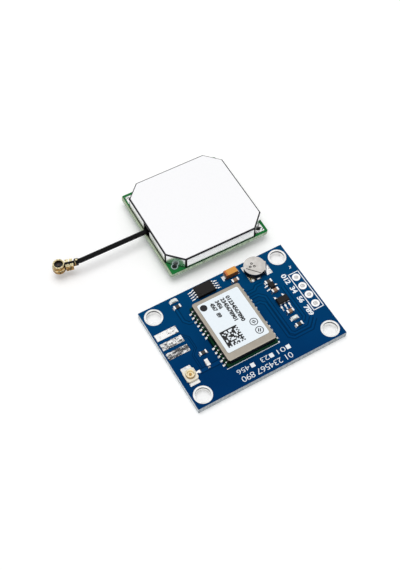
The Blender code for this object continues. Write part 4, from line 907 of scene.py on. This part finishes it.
class RECEIVER_OT_add_tracks(bpy.types.Operator):
    """Adds the copper tracks that show through the blue mask"""

    bl_idname = "receiver.add_tracks"
    bl_label = "Add Tracks"

    def execute(self, context):
        look = context.scene.receiver_board
        size = context.scene.receiver_tracks
        signals = [
            [(-12.9, 4.2), (-12.3, 3.5), (-11.43, 2.5), (-11.43, -0.3), (-12.75, -1.6), (-12.75, -5.0)],
        ]
        outer_bend = [(7.86, -8.55), (12.3, -8.55), (14.2, -6.65)]
        inner_bend = [(8.5, -7.74), (12.0, -7.74), (13.75, -6.0)]
        supplies = [
            [(-10.4, 9.8), (-10.4, 6.5), (-9.6, 5.5), (-8.7, 5.4)],
            [(4.3, 2.5), (6.1, 2.5), (6.96, 1.64), (6.96, -7.65), *outer_bend],
            [(4.3, 4.2), (6.75, 4.2), (7.86, 3.09), (7.86, -7.1), *inner_bend],
            [(4.3, 5.7), (6.7, 5.7), (7.5, 6.4), (9.0, 6.4)],
            [(12.42, 3.4), (12.42, -5.2), (11.6, -6.0)],
        ]
        feeds = [[(-13.5, -5.67), (-8.7, -5.67)]]
        gaps = bmesh.new()
        tracks = bmesh.new()
        for routes, width in ((signals, size.signal), (supplies, size.supply), (feeds, size.feed)):
            add_runs(gaps, routes, width + 2 * size.gap, size.height * 0.4)
            add_runs(tracks, routes, width, size.height)
        make_piece("track_gaps", gaps, track_finish("blue_mask_gap", look, look.gap_tone))
        make_piece("tracks", tracks, track_finish("blue_mask_track", look, look.track_tone))
        return {"FINISHED"}


class RECEIVER_OT_add_print(bpy.types.Operator):
    """Adds the white print on the blue board"""

    bl_idname = "receiver.add_print"
    bl_label = "Add Board Print"

    def execute(self, context):
        size = context.scene.receiver_print
        top = BOARD_TOP
        bm = bmesh.new()

        def bar(x0, y0, x1, y1, turn=0.0):
            add_block(bm, spot(x0, y0, top), spot(x1, y1, top + size.thickness), turn)

        def digits(words, x, y, wide, tall, turn, weight):
            add_digits(bm, words, spot(x, y, top), wide, tall, turn, size.thickness, weight, 0.9)

        left, right, front, back = 15.05, 17.5, -4.98, 5.2
        half = size.line / MM / 2
        for x in (left, right):
            bar(x - half, front - half, x + half, back + half)
        for y in (front, back):
            bar(left, y - half, right, y + half)
        bar(-8.3, -8.07, 4.4, -7.93)
        bar(4.1, -8.0, 4.55, -7.6)
        for x in (-3.22, 1.35, 5.45):
            bar(x - 0.47, -10.25, x + 0.47, -9.25)
        header = (("012", 4.65, 2.7), ("34", 1.48, 1.75), ("56", -1.3, 1.6), ("789", -4.45, 2.7))
        for words, y, wide in header:
            digits(words, 14.08, y, wide, 1.2, -pi / 2, 0.03)
        for words, x, wide in (("01", 3.75, 1.9), ("23", -0.3, 1.9), ("456", -5.5, 2.9)):
            digits(words, x, -9.75, wide, 1.1, pi, -0.01)
        digits("01 234567 890", -0.8, -11.65, 12.2, 1.3, pi, -0.01)
        bar(16.15, 6.7, 16.95, 6.84, radians(40))
        bar(16.5, 6.5, 16.64, 7.2, radians(10))
        ink = ink_finish("board_ink", context.scene.receiver_board.ink, 0.08)
        make_piece("board_print", bm, ink)
        return {"FINISHED"}


class RECEIVER_OT_add_label_print(bpy.types.Operator):
    """Adds plain digits, a square mark, a dot and two rings to the label"""

    bl_idname = "receiver.add_label_print"
    bl_label = "Add Label Print"

    def execute(self, context):
        size = context.scene.receiver_print
        tall = size.thickness / 2
        top = extent("receiver_label")[1].z
        bm = bmesh.new()
        add_disc(bm, spot(-5.9, 5.85, top), 0.8 * MM, tall, 32)
        columns = (
            ("01234567890", -0.08, 2.55, 7.1),
            ("2345678901", -1.35, 3.0, 6.2),
            ("3456", -2.62, 5.0, 2.2),
            ("4567", -3.92, 5.0, 2.2),
            ("89", -3.92, 2.75, 1.2),
        )
        for words, x, y, wide in columns:
            add_digits(bm, words, spot(x, y, top), wide, 1.0, -pi / 2, tall, 0.045, 0.95)
        self.square_mark(bm, size.cells, top, tall)
        ink = ink_finish("label_ink", context.scene.receiver_parts.label_ink, 0.1)
        make_piece("label_print", bm, ink)
        bm = bmesh.new()
        middle = 1.55
        for y, turn in ((-2.2, 0.6), (-4.5, -0.5)):
            centre = spot(middle, y, top)
            add_ring(bm, centre, 0.82 * MM, 0.17 * MM, tall)
            for x in (middle - 0.2, middle + 0.2):
                add_block(bm, spot(x - 0.11, y - 0.4, top), spot(x + 0.11, y + 0.4, top + tall), turn, centre)
        grey = ink_finish("label_grey_ink", (0.015, 0.015, 0.018), 0.25)
        make_piece("label_rings", bm, grey)
        return {"FINISHED"}

    def square_mark(self, bm, cells, top, tall):
        """A square of random cells with two full edges, which stands for no text."""
        left, low, side = -6.15, -5.05, 4.1
        step = side / cells
        last = cells - 1
        rng = random.Random(11)
        for row in range(cells):
            for column in range(cells):
                edge = column == 0 or row == last
                other = (column == last and row % 2 == 0) or (row == 0 and column % 2 == 0)
                inside = 0 < column < last and 0 < row < last
                if edge or other or (inside and rng.random() < 0.57):
                    x = left + column * step
                    y = low + row * step
                    add_block(bm, spot(x, y, top), spot(x + step, y + step, top + tall))


class RECEIVER_OT_add_solder(bpy.types.Operator):
    """Adds the solder joints and tinned lands around every part"""

    bl_idname = "receiver.add_solder"
    bl_label = "Add Solder"

    def execute(self, context):
        size = context.scene.receiver_solder
        tin = context.scene.receiver_metal.tin
        # The dark patches in the solder are partly real dull solder and partly painted reflection, for the
        # glints of the joints.
        solder = tin_finish("solder", tin, tint(tin, 0.4), 0.1, 0.3, 0.3, 0.04)
        self.side_joints(size, solder)
        self.part_joints(size, solder)
        self.chip_joints(solder)
        self.other_lands(size, solder)
        return {"FINISHED"}

    def side_joints(self, size, solder):
        """Joints down both sides of the receiver, and the lands on its own board."""
        low, high, centre = extent("receiver_board")
        rows = (7.0, 5.9, 4.8, 3.7, 2.6, 1.5, 0.4, -2.6, -3.7, -4.8, -5.9, -7.0)
        rng = random.Random(5)
        bm = bmesh.new()
        drops = bmesh.new()
        for side, wall in ((-1, low.x), (1, high.x)):
            for row in rows:
                place = row * MM
                reach = size.side_reach * rng.uniform(0.9, 1.08) * (1.15 if side > 0 else 1.0)
                rise = (high.z - BOARD_TOP) * rng.uniform(0.26, 0.36)
                add_joint(bm, "receiver_board", 0, side, size.side_width, reach, rise, place, -0.005 * MM)
                drop = (wall - side * 0.16 * MM, centre.y + place, high.z)
                add_disc(drops, drop, 0.2 * MM, 0.1 * MM, 10, 0.5)
        make_piece("receiver_side_joints", bm, solder)
        white = tin_finish("solder_drops", (1.0, 1.0, 0.99), (0.8, 0.8, 0.8), 0.2, 0.4, 0.3)
        white["Metallic"] = 0.25
        make_piece("receiver_side_drops", drops, white)

    def part_joints(self, size, solder):
        """Joints at both ends of each small part."""
        bm = bmesh.new()
        lying = numbered("resistor", 4) + numbered("capacitor", 3) + ["led_1_base", "led_2_base"]
        rng = random.Random(9)
        for name in (*lying, "inductor"):
            tall = extent(name)[1].z - BOARD_TOP
            for side in (-1, 1):
                reach = size.chip_reach * rng.uniform(0.85, 1.15)
                rise = tall * rng.uniform(0.4, 0.6)
                add_joint(bm, name, 0 if name in lying else 1, side, 0.76 * MM, reach, rise)
        for name, side in (("tantalum_plus_tab", -1), ("tantalum_minus_tab", 1)):
            add_joint(bm, name, 0, side, 1.35 * MM, 0.6 * MM, 0.42 * MM)
        make_piece("part_joints", bm, solder)

    def chip_joints(self, solder):
        """Joints at the toes of the chips' leads."""
        bm = bmesh.new()
        rows = (0.975, 0.325, -0.325, -0.975)
        rise, sink = 0.16 * MM, 0.02 * MM
        for name, axis, side, width, reach, places in (
            ("memory_chip", 0, -1, 0.32, 0.44, rows),
            ("memory_chip", 0, 1, 0.32, 0.44, rows),
            ("regulator", 1, -1, 0.36, 0.7, (-0.95, 0.0, 0.95)),
            ("regulator", 1, 1, 0.36, 0.35, (-0.95, 0.95)),
            ("transistor", 0, -1, 0.34, 0.32, (-0.5, 0.5)),
            ("transistor", 0, 1, 0.34, 0.32, (0.0,)),
        ):
            for place in places:
                add_joint(bm, name, axis, side, width * MM, reach * MM, rise, place * MM, sink)
        make_piece("chip_joints", bm, solder)

    def other_lands(self, size, solder):
        """Lands under the backup cell's tabs and the socket's feet, and dark discs of painted shade in the
        antenna's corner holes.
        """
        bm = bmesh.new()

        def pad(x, y, x0, y0, x1, y1):
            origin = Vector((x, y, BOARD_TOP))
            add_block(bm, origin + spot(x0, y0, 0.0), origin + spot(x1, y1, size.land))

        centre = extent("cell_can")[2]
        for reach in ((1.7, -2.4, 3.35, -0.05), (-2.2, -2.4, -0.75, 2.05), (-0.4, -2.45, 0.5, -1.2)):
            pad(centre.x, centre.y, *reach)
        low, high, centre = extent("socket_shell")
        half = (high.x - low.x) / 2 / MM + 0.1
        pad(centre.x, high.y, -half, -0.75, half, -0.05)
        pad(centre.x, low.y, -half, 0.05, half, 0.75)
        low, high, centre = extent("socket_pin")
        pad(high.x, centre.y, -0.4, -0.35, 0.15, 0.35)
        low, high, centre = extent("cell_bottom_tab")
        half = (high.x - low.x) / 2 - 0.5 * MM
        for place in (-half, half):
            add_joint(bm, "cell_bottom_tab", 1, -1, 0.85 * MM, 0.42 * MM, 0.4 * MM, place, 0.1 * MM)
        make_piece("tab_lands", bm, solder)
        bm = bmesh.new()
        # Painted shade: dark discs down in the antenna's corner holes.
        for name in numbered("antenna_land", 4):
            low, high, centre = extent(name)
            add_disc(bm, (centre.x, centre.y, low.z + 0.15 * MM), 0.61 * MM, 0.3 * MM)
        hole_shade = soft_finish("painted_hole_shade", (0.01, 0.012, 0.01), 0.6)
        make_piece("antenna_hole_shade", bm, hole_shade)


class RECEIVER_OT_set_stage(bpy.types.Operator):
    """Sets the floor, light and camera"""

    bl_idname = "receiver.set_stage"
    bl_label = "Set Stage"

    def execute(self, context):
        stage = context.scene.receiver_stage
        self.floor(stage)
        self.sky(context, stage)
        self.lamp(stage)
        self.camera(context, stage)
        context.scene.view_settings.view_transform = "Standard"
        return {"FINISHED"}

    def floor(self, stage):
        """A wide white floor that keeps soft shadows and stays white far out."""
        finish = Finish("floor_paper", 0.9, gloss=0.0)
        finish["Base Color"] = (0.97, 0.97, 0.97)
        finish["Emission Color"] = WHITE
        camera, glossy, through = (
            add_node(finish.tree, "ShaderNodeLightPath", f"Is {kind} Ray")
            for kind in ("Camera", "Glossy", "Transmission")
        )
        seen = larger(larger(camera, glossy), through)
        out = apart(finish.along("X"), finish.along("Y"))
        finish["Emission Strength"] = seen * out.window(70.0, 260.0, 0.1, 0.9)
        bm = bmesh.new()
        bmesh.ops.create_grid(bm, x_segments=1, y_segments=1, size=stage.floor_side / 2)
        floor = add_mesh("floor", bm, finish)

    def sky(self, context, stage):
        """An even sky, whose reflections darken towards the horizon."""
        world = bpy.data.worlds.new("studio")
        world.use_nodes = True
        tree = world.node_tree
        background = tree.nodes["Background"]
        up = add_node(tree, "ShaderNodeTexCoord", "Generated").part("Z")
        camera = add_node(tree, "ShaderNodeLightPath", "Is Camera Ray")
        glossy = add_node(tree, "ShaderNodeLightPath", "Is Glossy Ray")
        shine = glossy * up.window(0.02, 0.42, 0.03, 1.05)
        level = shine + (1.0 - glossy) * stage.sky
        put(background.inputs["Strength"], larger(level, camera))
        put(background.inputs["Color"], WHITE)
        context.scene.world = world

    def lamp(self, stage):
        """One soft lamp above the part and a little behind it."""
        lamp = bpy.data.lights.new("soft_lamp", "AREA")
        lamp.shape = "DISK"
        lamp.size = 0.45
        lamp.energy = stage.lamp
        holder = add_object("soft_lamp", lamp)
        holder.location = (-0.02, 0.06, 0.6)
        holder.visible_glossy = False
        aim = Vector((0.0, 0.015, 0.0)) - holder.location
        holder.rotation_euler = aim.to_track_quat("-Z", "Y").to_euler()

    def camera(self, context, stage):
        """The photograph's view: from the left and the front, looking well down."""
        lens = bpy.data.cameras.new("camera")
        lens.lens = stage.lens
        lens.sensor_width = 36.0
        lens.clip_start = 0.01
        lens.clip_end = 10.0
        camera = add_object("camera", lens)
        camera.location = (-0.0606009, -0.0886184, 0.1837058)
        camera.rotation_euler = Euler((radians(32.63163), radians(0.14547), radians(-29.90561)), "XYZ")
        context.scene.camera = camera


class RECEIVER_PT_panel(bpy.types.Panel):
    """Sizes, colours and steps of the receiver board"""

    bl_label = "Receiver Board"
    bl_idname = "RECEIVER_PT_panel"
    bl_space_type = "VIEW_3D"
    bl_region_type = "UI"
    bl_category = "Receiver"

    def draw(self, context):
        for name, group in GROUPS.items():
            box = self.layout.box()
            box.label(text=group.__doc__)
            for key in group.__annotations__:
                box.prop(getattr(context.scene, name), key)
        for step in STEPS:
            self.layout.operator(step.bl_idname)


GROUPS = {
    "receiver_board": BoardColours,
    "receiver_metal": MetalColours,
    "receiver_parts": PartColours,
    "receiver_tracks": TrackSizes,
    "receiver_print": PrintSizes,
    "receiver_solder": SolderSizes,
    "receiver_stage": StageSettings,
}

STEPS = (
    RECEIVER_OT_finish_boards,
    RECEIVER_OT_finish_metal,
    RECEIVER_OT_finish_cell,
    RECEIVER_OT_finish_parts,
    RECEIVER_OT_add_tracks,
    RECEIVER_OT_add_print,
    RECEIVER_OT_add_label_print,
    RECEIVER_OT_add_solder,
    RECEIVER_OT_set_stage,
)


CLASSES = (*GROUPS.values(), *STEPS, RECEIVER_PT_panel)


def register():
    """Adds the property groups, steps and panel."""
    for group in CLASSES:
        bpy.utils.register_class(group)
    for name, group in GROUPS.items():
        setattr(bpy.types.Scene, name, PointerProperty(type=group))


def unregister():
    """Takes them away again."""
    for name in GROUPS:
        delattr(bpy.types.Scene, name)
    for group in reversed(CLASSES):
        bpy.utils.unregister_class(group)


def main():
    """Runs every step in order."""
    register()
    for step in STEPS:
        group, name = step.bl_idname.split(".")
        getattr(getattr(bpy.ops, group), name)()


if __name__ == "__main__":
    main()
